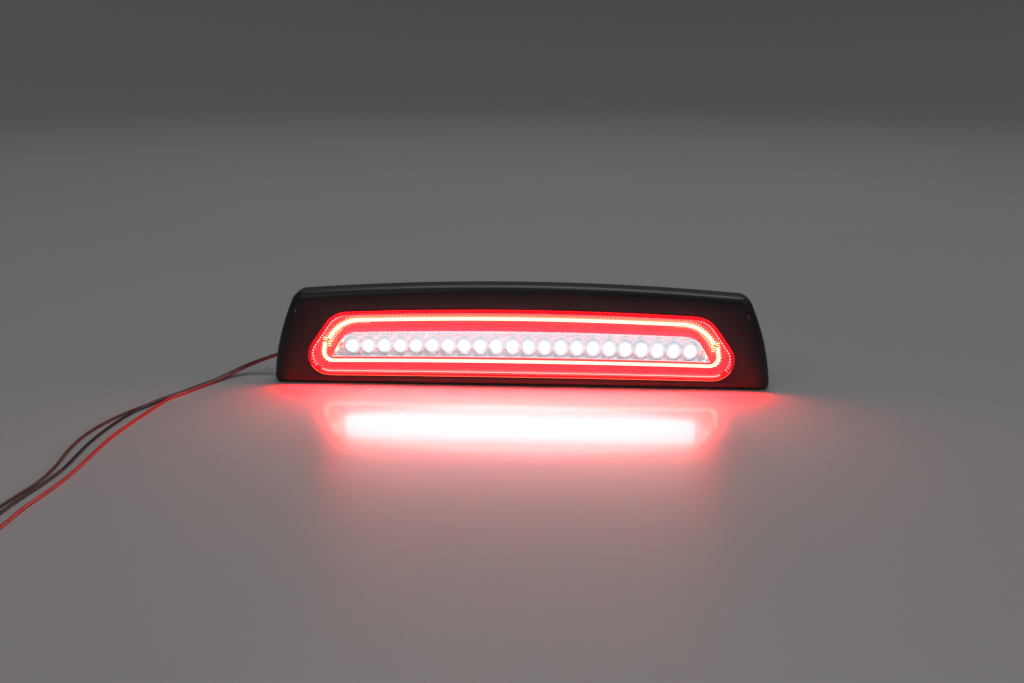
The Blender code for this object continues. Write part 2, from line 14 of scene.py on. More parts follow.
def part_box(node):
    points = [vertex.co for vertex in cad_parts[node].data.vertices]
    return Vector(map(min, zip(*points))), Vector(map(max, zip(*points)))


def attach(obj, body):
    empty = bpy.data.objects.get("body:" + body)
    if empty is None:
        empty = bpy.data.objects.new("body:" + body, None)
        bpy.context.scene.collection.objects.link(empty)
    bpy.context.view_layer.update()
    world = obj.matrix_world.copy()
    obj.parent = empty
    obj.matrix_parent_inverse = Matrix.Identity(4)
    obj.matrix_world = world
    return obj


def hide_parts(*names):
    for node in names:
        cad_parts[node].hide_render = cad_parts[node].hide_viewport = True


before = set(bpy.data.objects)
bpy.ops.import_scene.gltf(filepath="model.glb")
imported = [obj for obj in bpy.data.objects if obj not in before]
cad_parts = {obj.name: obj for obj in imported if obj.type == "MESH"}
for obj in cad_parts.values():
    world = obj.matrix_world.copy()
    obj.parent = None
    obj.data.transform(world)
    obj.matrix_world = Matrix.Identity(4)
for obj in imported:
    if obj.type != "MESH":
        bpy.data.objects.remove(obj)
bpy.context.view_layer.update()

MM = 0.001
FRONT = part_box("lens_red")[0].y / MM    # y of the front of the lens
BODY = "lamp"    # the body that everything but the lock rides on

# The part's design, repeated from its source.
ARCH = 0.042 / 113 ** 2    # heights are 4.2% lower 113 mm from the middle
WALL, FACE = 2.4, 2.5    # the bezel's wall, and the depth of its face
WELL_GAP, WELL_WALL, LEDGE = 0.3, 2.3, -2.7    # the well's inside, outside and ledge, from LENS
LEDGE_FRONT, WELL_BACK, OPTICS_BACK = 13.3, 15.0, 15.3
LENS_THICK, LENS_WALL, LENS_BACK = 2.6, 2.4, 11.7
BOARD_FRONT, PLATE_FRONT, SKIRT_BACK, TUB_BACK = 16.0, 19.5, 22.0, 44.0
BACKWARDS = (0, 1, 0)    # the direction in which depth grows
BEZEL = dict(bottom=(186.8, 0), top=(169, 76), radii=(5, 10), bow=2.6)
LENS = dict(bottom=(172.8, 7.2), top=(138.7, 58.2), radii=(16.6, 19))
WINDOW = dict(bottom=(141.2, 22.4), top=(129.7, 42.8), radii=(0.9, 13))
CUPS = dict(bottom=(142.4, 20.4), top=(130.2, 43.6), radii=(0.9, 13.5))
UPPER_HALO = dict(bottom=(150, 20.9), top=(134.3, 51.6), radii=(1, 26))
LOWER_HALO = dict(bottom=(148.3, 18.1), top=(145.4, 36), radii=(6.8, 1))
TUB = dict(bottom=(112, 11), top=(112, 55), radii=(8, 8))
UPPER_END, LOWER_END = 35.4, 33.6
HALO_FRONT, HALO_THICK = 7.0, 4.2
HALO_WIDTH = {"upper": 3.8, "lower": 3.0}
CASE_SCREWS = ((172, 14), (159, 62), (62, 67.4), (-62, 67.4), (-159, 62), (-172, 14))
STUDS = {"left": (-166, 38), "right": (166, 38)}

# The leads' routes, repeated from the part's source.
WIRE, WIRE_PITCH = 1.8, 2.1
BUNDLE = [
    (-130.3, 11, 22), (-140, 11, 21.8), (-155, 11, 20.6), (-170, 11, 18.2),
    (-183, 10.6, 15), (-194, 9.2, 11.8), (-204.5, 6, 8.4), (-214, 0.6, 5.2),
    (-222.5, -9, 2.6), (-230, -22, 1.2), (-237.5, -37, 1), (-244.5, -52, 1),
]
TAILS = {
    "wire_red": [
        (-250, -68, 1), (-253.6, -90, 1), (-257.6, -120, 1), (-260.6, -152, 1),
        (-260.6, -186, 1), (-260.2, -208, 1), (-260.8, -229, 1), (-263.2, -251, 1),
        (-265.6, -272, 1), (-266.4, -297, 1), (-269.5, -318, 1.2), (-276.5, -337, 2.8),
        (-283.2, -351, 5.6), (-285.6, -362, 6.5), (-286, -367.7, 6.5),
    ],
    "wire_black": [
        (-252.6, -68, 1), (-258.8, -84, 1), (-265.2, -102, 1), (-269.2, -130, 1),
        (-270.6, -160, 1), (-269.4, -186, 1), (-268.4, -210, 1), (-270.2, -234, 1),
        (-273.6, -258, 1), (-275.8, -282, 1), (-277.6, -306, 1), (-282, -330, 2.4),
        (-287.6, -348, 5.4), (-289.7, -361, 6.5), (-290, -367.7, 6.5),
    ],
    "wire_brown": [
        (-255.2, -68, 1), (-261.6, -84, 1), (-269.8, -103, 1), (-276.6, -128, 1),
        (-279.4, -154, 1), (-278, -180, 1), (-274.6, -206, 1), (-274.2, -232, 1),
        (-277.8, -256, 1), (-281.6, -280, 1), (-284.4, -304, 1), (-289, -328, 2.4),
        (-293, -347, 5.4), (-294, -361, 6.5), (-294, -367.7, 6.5),
    ],
}
WIRE_SIDE = {"wire_red": 1, "wire_black": 0, "wire_brown": -1}
WIRE_POINTS, ROUTE_STEPS = 240, 20


def place(x, depth, z):
    """A point in metres from its width, depth behind the lens front, and height."""
    return Vector((x * MM, (FRONT + depth) * MM, z * MM))


def arched(x, z):
    return z * (1.0 - ARCH * x * x)


def on_arch(x, z):
    """The point at depth 0 where a screw, stud or LED of that width and height is centred."""
    return place(x, 0, arched(x, z))


def added(name, data):
    """A new object of the scene that holds the data."""
    made = bpy.data.objects.new(name, data)
    bpy.context.scene.collection.objects.link(made)
    return made


# ---- materials ----

def new_material(name):
    """An empty Principled material, with its node tree and shader."""
    made = bpy.data.materials.new(name)
    made.use_nodes = True
    tree = made.node_tree
    return made, tree, tree.nodes["Principled BSDF"]


def tune(shader, **values):
    """Set a shader's or another node's inputs by name."""
    for name, value in values.items():
        shader.inputs[name.replace("_", " ")].default_value = value


def node(tree, kind, **values):
    """A node of that kind, with its inputs set by name."""
    made = tree.nodes.new(kind)
    tune(made, **values)
    return made


def ramp(tree, source, low, high, start=0.3, stop=0.7):
    """A colour ramp between two colours, driven by a value."""
    made = tree.nodes.new("ShaderNodeValToRGB")
    made.color_ramp.elements[0].position = start
    made.color_ramp.elements[0].color = (*low, 1.0)
    made.color_ramp.elements[1].position = stop
    made.color_ramp.elements[1].color = (*high, 1.0)
    tree.links.new(source, made.inputs["Fac"])
    return made.outputs["Color"]


def spread(tree, source, low, high):
    """A value mapped from 0..1 to low..high."""
    made = node(tree, "ShaderNodeMapRange", To_Min=low, To_Max=high)
    tree.links.new(source, made.inputs["Value"])
    return made.outputs["Result"]


def pattern(tree, kind, **values):
    """The value of a pattern node that is laid out in the piece's own coordinates."""
    where = tree.nodes.new("ShaderNodeTexCoord")
    made = node(tree, kind, **values)
    tree.links.new(where.outputs["Object"], made.inputs["Vector"])
    return made.outputs["Fac"]


def noise(tree, scale, detail=2.0):
    """Noise with its scale in cycles per metre."""
    return pattern(tree, "ShaderNodeTexNoise", Scale=scale, Detail=detail)


def uneven_gloss(tree, shader, roughness, part=0.18, scale=180.0, detail=4.0):
    """Roughness that varies over the surface by a part of itself."""
    value = spread(tree, noise(tree, scale, detail), roughness * (1 - part), roughness * (1 + part))
    tree.links.new(value, shader.inputs["Roughness"])


def bump(tree, shader, height, strength, distance):
    made = node(tree, "ShaderNodeBump", Strength=strength, Distance=distance)
    tree.links.new(height, made.inputs["Height"])
    tree.links.new(made.outputs["Normal"], shader.inputs["Normal"])


GRAIN_DEPTH = 0.15


def plastic(name, colour, roughness, grain=0.0, grain_scale=2500.0, tint=1.35, metallic=0.0, coat=0.0):
    """Moulded plastic, rubber or metal: mottled colour, uneven gloss and a fine surface grain."""
    made, tree, shader = new_material(name)
    slow = noise(tree, 60.0, 3.0)
    light = tuple(min(c * tint, 1.0) for c in colour)
    tree.links.new(ramp(tree, slow, colour, light), shader.inputs["Base Color"])
    uneven_gloss(tree, shader, roughness)
    tune(shader, Metallic=metallic, Coat_Weight=coat)
    if grain:
        bump(tree, shader, noise(tree, grain_scale), grain, GRAIN_DEPTH * MM)
    return made


FLUTE_PITCH, FLUTE_HEIGHT, FLUTE_POINTS = 1.4, 0.7, 8


def fluted(name, painted_groove_shade, painted_crest_highlight, roughness, metallic):
    """Satin metallised plastic with painted shade and highlight: a wave at the flute pitch colours the
    upright grooves darker and the crests lighter.
    """
    made, tree, shader = new_material(name)
    wave = pattern(tree, "ShaderNodeTexWave", Scale=2 * math.pi / (20 * FLUTE_PITCH * MM))
    tree.links.new(ramp(tree, wave, painted_groove_shade, painted_crest_highlight, 0.1, 0.9), shader.inputs["Base Color"])
    uneven_gloss(tree, shader, roughness)
    tune(shader, Metallic=metallic)
    return made


def glowing(name, colour, strength, core=1.0):
    """Glowing plastic: emission that varies slightly along the piece; core scales its unlit colour. It
    serves the lit guides and LEDs, and the painted glow and glints in the lens.
    """
    made, tree, shader = new_material(name)
    tune(shader, Base_Color=(*(c * core for c in colour), 1.0), Roughness=0.2, Emission_Strength=strength)
    wave = ramp(tree, noise(tree, 90.0), tuple(c * 0.92 for c in colour), colour)
    tree.links.new(wave, shader.inputs["Emission Color"])
    return made


ACRYLIC_IOR = 1.49


def clear_plastic(name, tint, shadow_tint, roughness):
    """Polished transparent plastic that lets light through to what is behind it."""
    made, tree, shader = new_material(name)
    tune(shader, Base_Color=(*tint, 1.0), Transmission_Weight=1.0, IOR=ACRYLIC_IOR)
    uneven_gloss(tree, shader, roughness, 0.3, 120.0, 2.0)
    through = node(tree, "ShaderNodeBsdfTransparent", Color=(*shadow_tint, 1.0))
    path = tree.nodes.new("ShaderNodeLightPath")
    mix = tree.nodes.new("ShaderNodeMixShader")
    tree.links.new(path.outputs["Is Shadow Ray"], mix.inputs["Fac"])
    tree.links.new(shader.outputs["BSDF"], mix.inputs[1])
    tree.links.new(through.outputs["BSDF"], mix.inputs[2])
    tree.links.new(mix.outputs["Shader"], tree.nodes["Material Output"].inputs["Surface"])
    return made


# ---- shapes ----

def corner_arc(corner, before, after, radius, steps):
    """Points of the arc that rounds the corner between two unit directions."""
    turn = before.angle(after)
    run = radius * math.tan(turn / 2)
    centre = corner - before * run + Vector((-before.y, before.x)) * radius
    start = corner - before * run - centre
    points = []
    for step in range(steps + 1):
        c, s = math.cos(turn * step / steps), math.sin(turn * step / steps)
        points.append(centre + Vector((start.x * c - start.y * s, start.x * s + start.y * c)))
    return points


SMALLEST_RADIUS = 0.6


def outline(shape, grow=0.0, bottom=None, top=None, flat=False, steps=(24, 12, 8, 24)):
    """Closed loop of (x, z) round a shape; steps are for the bottom, corners, sides and top."""
    bottom = grow if bottom is None else bottom
    top = grow if top is None else top
    low, high = Vector(shape["bottom"]), Vector(shape["top"])
    up_side = (high - low).normalized()
    outward = Vector((up_side.y, -up_side.x))
    on_side = low + outward * grow
    low_z, high_z = low.y - bottom, high.y + top

    def side_at(z):
        return on_side + up_side * ((z - on_side.y) / up_side.y)

    radii = [max(radius + grow, SMALLEST_RADIUS) for radius in shape["radii"]]
    low_arc = corner_arc(side_at(low_z), Vector((1, 0)), up_side, radii[0], steps[1])
    high_arc = corner_arc(side_at(high_z), up_side, Vector((-1, 0)), radii[1], steps[1])
    half = [Vector((low_arc[0].x * i / steps[0], low_z)) for i in range(steps[0])]
    half += low_arc
    for i in range(1, steps[2]):
        part = i / steps[2]
        bulge = shape.get("bow", 0.0) * 4 * part * (1 - part)
        half.append(low_arc[-1].lerp(high_arc[0], part) + outward * bulge)
    half += high_arc
    half += [Vector((high_arc[-1].x * (1 - i / steps[3]), high_z)) for i in range(1, steps[3] + 1)]
    loop = half + [Vector((-point.x, point.y)) for point in reversed(half[1:-1])]
    if flat:
        return [(point.x, point.y) for point in loop]
    return [(point.x, arched(point.x, point.y)) for point in loop]


def mesh_of(name, data):
    """A mesh with its faces turned outwards, made from mesh data, which is freed."""
    bmesh.ops.recalc_face_normals(data, faces=data.faces)
    mesh = bpy.data.meshes.new(name)
    data.to_mesh(mesh)
    data.free()
    return mesh


def finish_mesh(name, data, look, smooth=40, body=BODY, replaces=None):
    """Turn mesh data into a piece of the object that rides on its body."""
    mesh = mesh_of(name, data)
    mesh.shade_smooth()
    mesh.set_sharp_from_angle(angle=math.radians(smooth))
    mesh.materials.append(look)
    piece = added(name, mesh)
    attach(piece, body)
    if replaces:
        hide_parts(replaces)
    return piece


def bridge(data, loops, ring=False, capped=True):
    """Join loops of vertices in turn: round to the first again, or with a cap on both ends."""
    pairs = list(zip(loops, loops[1:]))
    if ring:
        pairs.append((loops[-1], loops[0]))
    for first, second in pairs:
        count = len(first)
        for i in range(count):
            j = (i + 1) % count
            data.faces.new((first[i], first[j], second[j], second[i]))
    if capped and not ring:
        data.faces.new(loops[0])
        data.faces.new(loops[-1])


CORNER_SHARE = 0.45


def rounded(profile, radius, steps=3):
    """A closed profile of (a, b) points, each corner replaced by a short arc of at most radius.

    No arc takes more than CORNER_SHARE of the edges beside it."""
    made = []
    count = len(profile)
    for i, point in enumerate(profile):
        point = Vector(point)
        before, after = Vector(profile[i - 1]), Vector(profile[(i + 1) % count])
        size = min(radius, (point - before).length * CORNER_SHARE, (after - point).length * CORNER_SHARE)
        start = point + (before - point).normalized() * size
        stop = point + (after - point).normalized() * size
        for step in range(steps + 1):
            t = step / steps
            made.append(start.lerp(point, t).lerp(point.lerp(stop, t), t))
    return made


def sections_of(shape, profile):
    """A shape's outlines at the (grow, depth) pairs of a profile."""
    return [(outline(shape, grow), depth) for grow, depth in profile]


def loft_into(data, sections, ring=True):
    bridge(data, [[data.verts.new(place(x, depth, z)) for x, z in loop] for loop, depth in sections], ring)


def turned_into(data, profile, centre, sides, axis=BACKWARDS):
    """Add a turned body: profile holds (radius, distance along the axis), in millimetres."""
    axis = Vector(axis).normalized()
    across = axis.orthogonal().normalized()
    other = axis.cross(across)
    loops = []
    for radius, along in profile:
        loop = []
        for i in range(sides):
            angle = 2 * math.pi * (i + 0.5) / sides
            spoke = across * math.cos(angle) + other * math.sin(angle)
            loop.append(data.verts.new(centre + (axis * along + spoke * radius) * MM))
        loops.append(loop)
    bridge(data, loops)


def block_into(data, low, high, bevel, segments=2):
    """Add a block between two corners (x, depth, z) with rounded edges."""
    a, b = place(*low), place(*high)
    made = bmesh.ops.create_cube(data, size=1.0)["verts"]
    for vertex in made:
        vertex.co = Vector([a[i] + (b[i] - a[i]) * (vertex.co[i] + 0.5) for i in range(3)])
    if bevel:
        edges = dict.fromkeys(edge for vertex in made for edge in vertex.link_edges)
        bmesh.ops.bevel(data, geom=list(edges), offset=bevel * MM, segments=segments,
                        affect='EDGES', profile=0.5)


# ---- case ----

# The face's round edge: how far it reaches in from the sides, bottom and top, and back.
EDGE_INSET, EDGE_DROP, EDGE_STEPS = (11.0, 2.0, 6.0), 7.5, 9


def front_bezel(look):
    """Front frame: soft rounded face, skirt, and the well that holds the lens."""
    def face(side, low, high):
        return outline(BEZEL, -side, bottom=-low, top=-high)

    def well(grow):
        return outline(LENS, grow)

    sections = [(well(WELL_GAP), LEDGE_FRONT), (well(WELL_GAP), FACE + 0.6), (well(0.45), FACE + 0.18),
                (well(0.9), FACE)]
    for step in range(EDGE_STEPS + 1):
        turn = math.pi / 2 * step / EDGE_STEPS
        inset = [reach * (1.0 - math.sin(turn)) for reach in EDGE_INSET]
        sections.append((face(*inset), FACE + EDGE_DROP * (1 - math.cos(turn))))
    sections += [
        (face(0, 0, 0), SKIRT_BACK - 0.6), (face(0.15, 0.15, 0.15), SKIRT_BACK - 0.18),
        (face(0.6, 0.6, 0.6), SKIRT_BACK), (face(WALL, WALL, WALL), SKIRT_BACK),
        (face(WALL, WALL, WALL), FACE + 7.2), (face(4.4, WALL, 3.4), FACE + 4.6),
        (face(11.4, WALL + 0.4, 6.4), FACE + 2.5), (well(WELL_WALL), FACE + 2.5),
        (well(WELL_WALL), WELL_BACK), (well(LEDGE), WELL_BACK), (well(LEDGE), LEDGE_FRONT),
    ]
    data = bmesh.new()
    loft_into(data, sections)
    finish_mesh("bezel_shell", data, look, replaces="front_bezel")


# Ribs on the rear plate and beads on the tub: width, and how deep their roots go in.
RIB_WIDE, BEAD_WIDE, RIB_ROOT = 1.2, 1.8, 0.5


def rear_housing(look):
    """Back plate with the tub that goes through the cab, its ribs, beads and bosses."""
    def plate(grow):
        return outline(BEZEL, -WALL - 0.3 + grow)

    def tub(grow):
        return outline(TUB, grow, flat=True)

    data = bmesh.new()
    sections = [
        (tub(-2.2), TUB_BACK - 2.2), (tub(-2.2), PLATE_FRONT), (plate(-0.3), PLATE_FRONT),
        (plate(0), PLATE_FRONT + 0.3),
        (plate(0), SKIRT_BACK - 0.4), (plate(-0.4), SKIRT_BACK), (tub(1.0), SKIRT_BACK),
        (tub(0.3), SKIRT_BACK + 0.3), (tub(0), SKIRT_BACK + 1.0), (tub(-0.7), TUB_BACK - 2.0),
        (tub(-1.0), TUB_BACK - 0.8), (tub(-1.6), TUB_BACK - 0.2), (tub(-2.6), TUB_BACK),
    ]
    loft_into(data, sections, ring=False)
    finish_mesh("housing_shell", data, look, replaces="rear_housing")

    data = bmesh.new()
    root, rib, bead = SKIRT_BACK - RIB_ROOT, RIB_WIDE / 2, BEAD_WIDE / 2
    for side in (-1, 1):
        for x in (127, 139, 151):
            top = arched(x, 64 - (x - 127) * 0.15)
            block_into(data, (side * x - rib, root, 8), (side * x + rib, SKIRT_BACK + 1.8, top), 0.25)
        for z in (20, 48):
            low_x, high_x = sorted((side * 122, side * 156))
            block_into(data, (low_x, root, arched(139, z) - rib),
                       (high_x, SKIRT_BACK + 1.6, arched(139, z) + rib), 0.25)
    for x in (-84, -56, -28, 0, 28, 84):
        block_into(data, (x - bead, TUB_BACK - RIB_ROOT, 17.5), (x + bead, TUB_BACK + 0.8, 48.5), 0.35)
    for z in (17, 48):
        block_into(data, (-92, TUB_BACK - RIB_ROOT, z - bead), (92, TUB_BACK + 0.8, z + bead), 0.35)
    for x, z in CASE_SCREWS:
        turned_into(data, [(4.6, root), (4.6, SKIRT_BACK + 0.1), (4.4, SKIRT_BACK + 0.25)],
                    on_arch(x, z), 32)
    for x, z in STUDS.values():
        turned_into(data, [(6.6, root), (6.4, SKIRT_BACK + 1.4), (6.0, SKIRT_BACK + 1.8)],
                    on_arch(x, z), 40)
    finish_mesh("housing_ribs", data, look)


FOAM_FRONT, FOAM_BACK = SKIRT_BACK + 0.3, 26.3


def foam_gasket(look):
    """Foam ring round the tub, slightly uneven as cut foam is."""
    data = bmesh.new()
    profile = rounded([(1.5, FOAM_FRONT), (7.5, FOAM_FRONT), (7.5, FOAM_BACK), (1.5, FOAM_BACK)], 0.9)
    sections = [(outline(TUB, grow, flat=True, steps=(60, 10, 16, 60)), depth) for grow, depth in profile]
    loft_into(data, sections)
    for vertex in data.verts:
        wave = math.sin(vertex.co.x * 310) * math.cos(vertex.co.z * 270 + vertex.co.x * 90)
        vertex.co.y += wave * 0.12 * MM
    gasket = finish_mesh("foam_gasket", data, look, smooth=60, replaces="mounting_gasket")


def seal_ring(name, shape, inner, outer, front, back, look, node_name):
    data = bmesh.new()
    profile = rounded([(inner, front), (outer, front), (outer, back), (inner, back)], 0.35)
    loft_into(data, sections_of(shape, profile))
    finish_mesh(name, data, look, smooth=60, replaces=node_name)


# ---- optics ----

LENS_EDGE, LENS_EDGE_STEPS = 1.6, 6


def lenses(red, clear):
    """Red cap with its skirt, and the clear window moulded into it."""
    data = bmesh.new()
    turns = [math.pi / 2 * i / LENS_EDGE_STEPS for i in range(LENS_EDGE_STEPS + 1)]
    profile = [(LENS_EDGE * (math.sin(turn) - 1), LENS_EDGE * (1 - math.cos(turn))) for turn in turns]
    profile += [(0.0, LENS_BACK - 0.2), (-0.2, LENS_BACK), (0.2 - LENS_WALL, LENS_BACK),
                (-LENS_WALL, LENS_BACK - 0.2), (-LENS_WALL, LENS_THICK)]
    hole = sections_of(WINDOW, [(0.02, LENS_THICK), (0.02, 0.0)])
    loft_into(data, sections_of(LENS, profile) + hole)
    finish_mesh("lens_cap", data, red, smooth=30, replaces="lens_red")
    data = bmesh.new()
    profile = [(-0.35, 0.0), (-0.12, 0.06), (-0.05, 0.3), (-0.05, 2.35), (-0.3, LENS_THICK)]
    loft_into(data, sections_of(WINDOW, profile), ring=False)
    finish_mesh("lens_window", data, clear, smooth=30, replaces="lens_clear_window")


def span(loop, x):
    """Lowest and highest z of a closed loop at one x, or None outside it."""
    hits = []
    for first, second in zip(loop, loop[1:] + loop[:1]):
        if (first[0] - x) * (second[0] - x) <= 0 and first[0] != second[0]:
            hits.append(first[1] + (second[1] - first[1]) * (x - first[0]) / (second[0] - first[0]))
    return (min(hits), max(hits)) if hits else None


def slab_into(data, columns, depth_at, back, rows):
    """A closed slab: columns holds (x, low z, high z), its front follows depth_at(x, z)."""
    front_grid, back_grid = [], []
    for x, low, high in columns:
        heights = [low + (high - low) * row / rows for row in range(rows + 1)]
        front_grid.append([data.verts.new(place(x, depth_at(x, z), z)) for z in heights])
        back_grid.append([data.verts.new(place(x, back, z)) for z in heights])
    for grid in (front_grid, back_grid):
        for first, second in zip(grid, grid[1:]):
            for row in range(rows):
                data.faces.new((first[row], second[row], second[row + 1], first[row + 1]))
    for row in range(rows):
        for column in (0, -1):
            data.faces.new((front_grid[column][row], front_grid[column][row + 1],
                            back_grid[column][row + 1], back_grid[column][row]))
    for i in range(len(columns) - 1):
        for row in (0, rows):
            data.faces.new((front_grid[i][row], front_grid[i + 1][row],
                            back_grid[i + 1][row], back_grid[i][row]))


GROOVE_DEPTH, FLOOR_BACK = 11.75, 13.2


def flute_depth(x, z):
    """Depth of the fluted floor: upright ribs with round fronts."""
    part = (x / FLUTE_PITCH) % 1.0 * 2.0 - 1.0
    return GROOVE_DEPTH - FLUTE_HEIGHT * math.sqrt(max(1.0 - part * part, 0.0))


def fluted_reflector(look):
    """Trough behind the red lens: plain walls, a fluted floor, and a frame round the cups."""
    data = bmesh.new()
    profile = [(-4.2, 6.1), (-4.0, 6.0), (-3.3, 6.0), (-3.1, 6.2), (-3.1, OPTICS_BACK), (-4.2, OPTICS_BACK)]
    loft_into(data, sections_of(LENS, profile))
    outer, inner = outline(LENS, -4.1), outline(CUPS, 0.3)
    outer_half = max(point[0] for point in outer) - 0.4
    inner_half = max(point[0] for point in inner) - 0.02
    step = FLUTE_PITCH / FLUTE_POINTS
    count = int(outer_half / step)
    low, high, ends = [], [], {-1: [], 1: []}
    for i in range(-count, count + 1):
        x = i * step
        reach = span(outer, x)
        hole = span(inner, x) if abs(x) <= inner_half else None
        if hole:
            low.append((x, reach[0], hole[0]))
            high.append((x, hole[1], reach[1]))
        else:
            ends[1 if x > 0 else -1].append((x, *reach))
    for columns, rows in ((low, 3), (high, 3), (ends[-1], 6), (ends[1], 6)):
        slab_into(data, columns, flute_depth, FLOOR_BACK, rows)
    finish_mesh("fluted_trough", data, look, smooth=50, replaces="fluted_reflector")
    data = bmesh.new()
    frame_inner = outline(CUPS, -0.3, bottom=0.03, top=-3.5)
    frame_outer = outline(CUPS, 0.27)
    frame_back = outline(CUPS, 0.04)
    loft_into(data, [(frame_inner, 8.75), (frame_inner, 8.15), (frame_outer, 8.15), (frame_outer, 11.0),
                     (frame_back, 11.0), (frame_back, 8.75)])
    finish_mesh("cup_frame", data, look, smooth=30)


# Painted glints in the lens: glowing beads and lines that stand in for halo light reflected inside it. They
# are no lamps. Below are the pitch and lowest height of the beads, and the depth of the edge glow.
BEAD_PITCH, BEAD_START, EDGE_GLOW_DEEP = 2.3, 13.0, 8.6
BEAD_PROFILE = ((0.15, -0.35), (0.34, -0.1), (0.34, 0.1), (0.15, 0.35))
RIM_LINE, RIM_DEPTH = -3.0, 5.2


def painted_lens_glints(bright, bead, red, orange, pink):
    """Painted glints: glowing lines and beads in the lens, round its edge and rim and below the window,
    that stand in for halo light reflected inside the lens.
    """
    data = bmesh.new()
    back = LENS_THICK + EDGE_GLOW_DEEP
    profile = rounded([(0.06, LENS_THICK), (0.24, LENS_THICK), (0.24, back), (0.06, back)], 0.1, 2)
    loft_into(data, sections_of(LENS, profile))
    finish_mesh("lens_edge_painted_glow", data, red, smooth=60)

    def lower_line(name, loop, high_z, width, depth, deep, look):
        data = bmesh.new()
        path = [(x, z) for x, z in loop[:len(loop) // 2] if z <= high_z]
        path = [(-x, z) for x, z in reversed(path[1:])] + path
        line_into(data, resampled(path, 0.8), width, depth, deep)
        finish_mesh(name, data, look, smooth=60)

    rim = outline(LENS, RIM_LINE)
    lower_line("lens_line_painted_glint", rim, 12.0, 0.4, 4.95, 0.4, bright)
    lower_line("lens_edge_painted_line", outline(LENS, -0.75), 17.0, 0.3, -0.12, 0.27, orange)
    lower_line("window_line", outline(WINDOW, -0.4), 22.9, 0.3, 3.0, 0.3, pink)
    data = bmesh.new()
    for point, _, _ in resampled(rim + rim[:1], BEAD_PITCH):
        if point.y > BEAD_START:
            turned_into(data, BEAD_PROFILE, place(point.x, RIM_DEPTH, point.y), 8)
    finish_mesh("lens_painted_bead_glints", data, bead, smooth=60)


def sweep_into(data, path, profile, front=0.0):
    """Sweep a closed profile of (across, depth behind front) along points with their sides."""
    loops = []
    for point, side, _ in path:
        spots = [(point + side * across, front + depth) for across, depth in profile]
        loops.append([data.verts.new(place(spot.x, depth, spot.y)) for spot, depth in spots])
    bridge(data, loops)


def line_into(data, path, width, depth, deep):
    """A thin bar along points with their side directions."""
    half, back = width / 2, depth + deep
    sweep_into(data, path, [(-half, depth), (half, depth), (half, back), (-half, back)])


LED_PITCH, LED_COUNT, LED_HEIGHT = 12.0, 22, 27.6
LED_RADIUS, LED_BASE, LED_DOME, LED_STEPS = 4.0, 12.8, 3.3, 9
CUP_FRONT, CUP_BOTTOM, CUP_FOCAL = 9.0, 15.0, 24.0
CUP_STEPS = ((6.3, 0.5), (9.4, 0.9), (12.0, 1.3))   # radius and drop of each ring of a cup


def cup_depth(x, z):
    """Depth of the chromed plate: a clipped, stepped paraboloid round each LED."""
    half = LED_COUNT * LED_PITCH / 2
    near = min(max(x, -half + 0.01), half - 0.01)
    cell = (near + half) // LED_PITCH
    centre = (cell + 0.5) * LED_PITCH - half
    reach = math.hypot(x - centre, z - arched(centre, LED_HEIGHT))
    drop = next((drop for radius, drop in CUP_STEPS if reach < radius), CUP_STEPS[-1][1])
    rise = max(reach * reach / CUP_FOCAL - drop, 0.0)
    return max(CUP_BOTTOM - rise, CUP_FRONT)


def cargo_reflector(look):
    """Chromed plate with a cup for each cargo LED."""
    data = bmesh.new()
    loop = outline(CUPS, -0.02)
    half = max(point[0] for point in loop) - 0.15
    step = 0.4
    columns = []
    count = int(half / step)
    for i in range(-count, count + 1):
        columns.append((i * step, *span(loop, i * step)))
    slab_into(data, columns, cup_depth, OPTICS_BACK, 52)
    finish_mesh("cargo_cups", data, look, smooth=38, replaces="cargo_reflector")


def cargo_leds(lit):
    """Lit dome LEDs on short cylindrical bases."""
    dome = [(LED_RADIUS, BOARD_FRONT - 0.05), (LED_RADIUS, LED_BASE)]
    for i in range(1, LED_STEPS):
        turn = math.pi / 2 * i / LED_STEPS
        dome.append(((LED_RADIUS - 0.05) * math.cos(turn), LED_BASE - LED_DOME * math.sin(turn)))
    dome.append((0.25, LED_BASE - LED_DOME))
    for i in range(LED_COUNT):
        x = (i - (LED_COUNT - 1) / 2) * LED_PITCH
        data = bmesh.new()
        turned_into(data, dome, on_arch(x, LED_HEIGHT), 28)
        number = i + 1
        finish_mesh("cargo_lamp_%02d" % number, data, lit, replaces="cargo_led_%02d" % number)


def resampled(points, pitch, way=1):
    """Points every pitch along a path of (x, z), each with its side direction and run so far."""
    made, run, want = [], 0.0, 0.0
    for first, second in zip(points, points[1:]):
        a, b = Vector(first), Vector(second)
        length = (b - a).length
        while length and want <= run + length:
            made.append((a.lerp(b, (want - run) / length), want))
            want += pitch
        run += length
    result = []
    for i, (point, at) in enumerate(made):
        along = (made[min(i + 1, len(made) - 1)][0] - made[max(i - 1, 0)][0]).normalized()
        result.append((point, Vector((along.y, -along.x)) * way, at))
    return result


TOOTH_PITCH, TOOTH_WIDTH, TOOTH_ROOT = 2.0, 0.6, 0.2
TOOTH_FRONT, TOOTH_BACK = HALO_FRONT + 0.1, HALO_FRONT + 0.8
FAN_PITCH, FAN_HALF = 1.6, 1.4
STRIPE_THICK = 0.9
STRIPE_SHIFT = 0.14    # share of the run in which the stripe shifts across


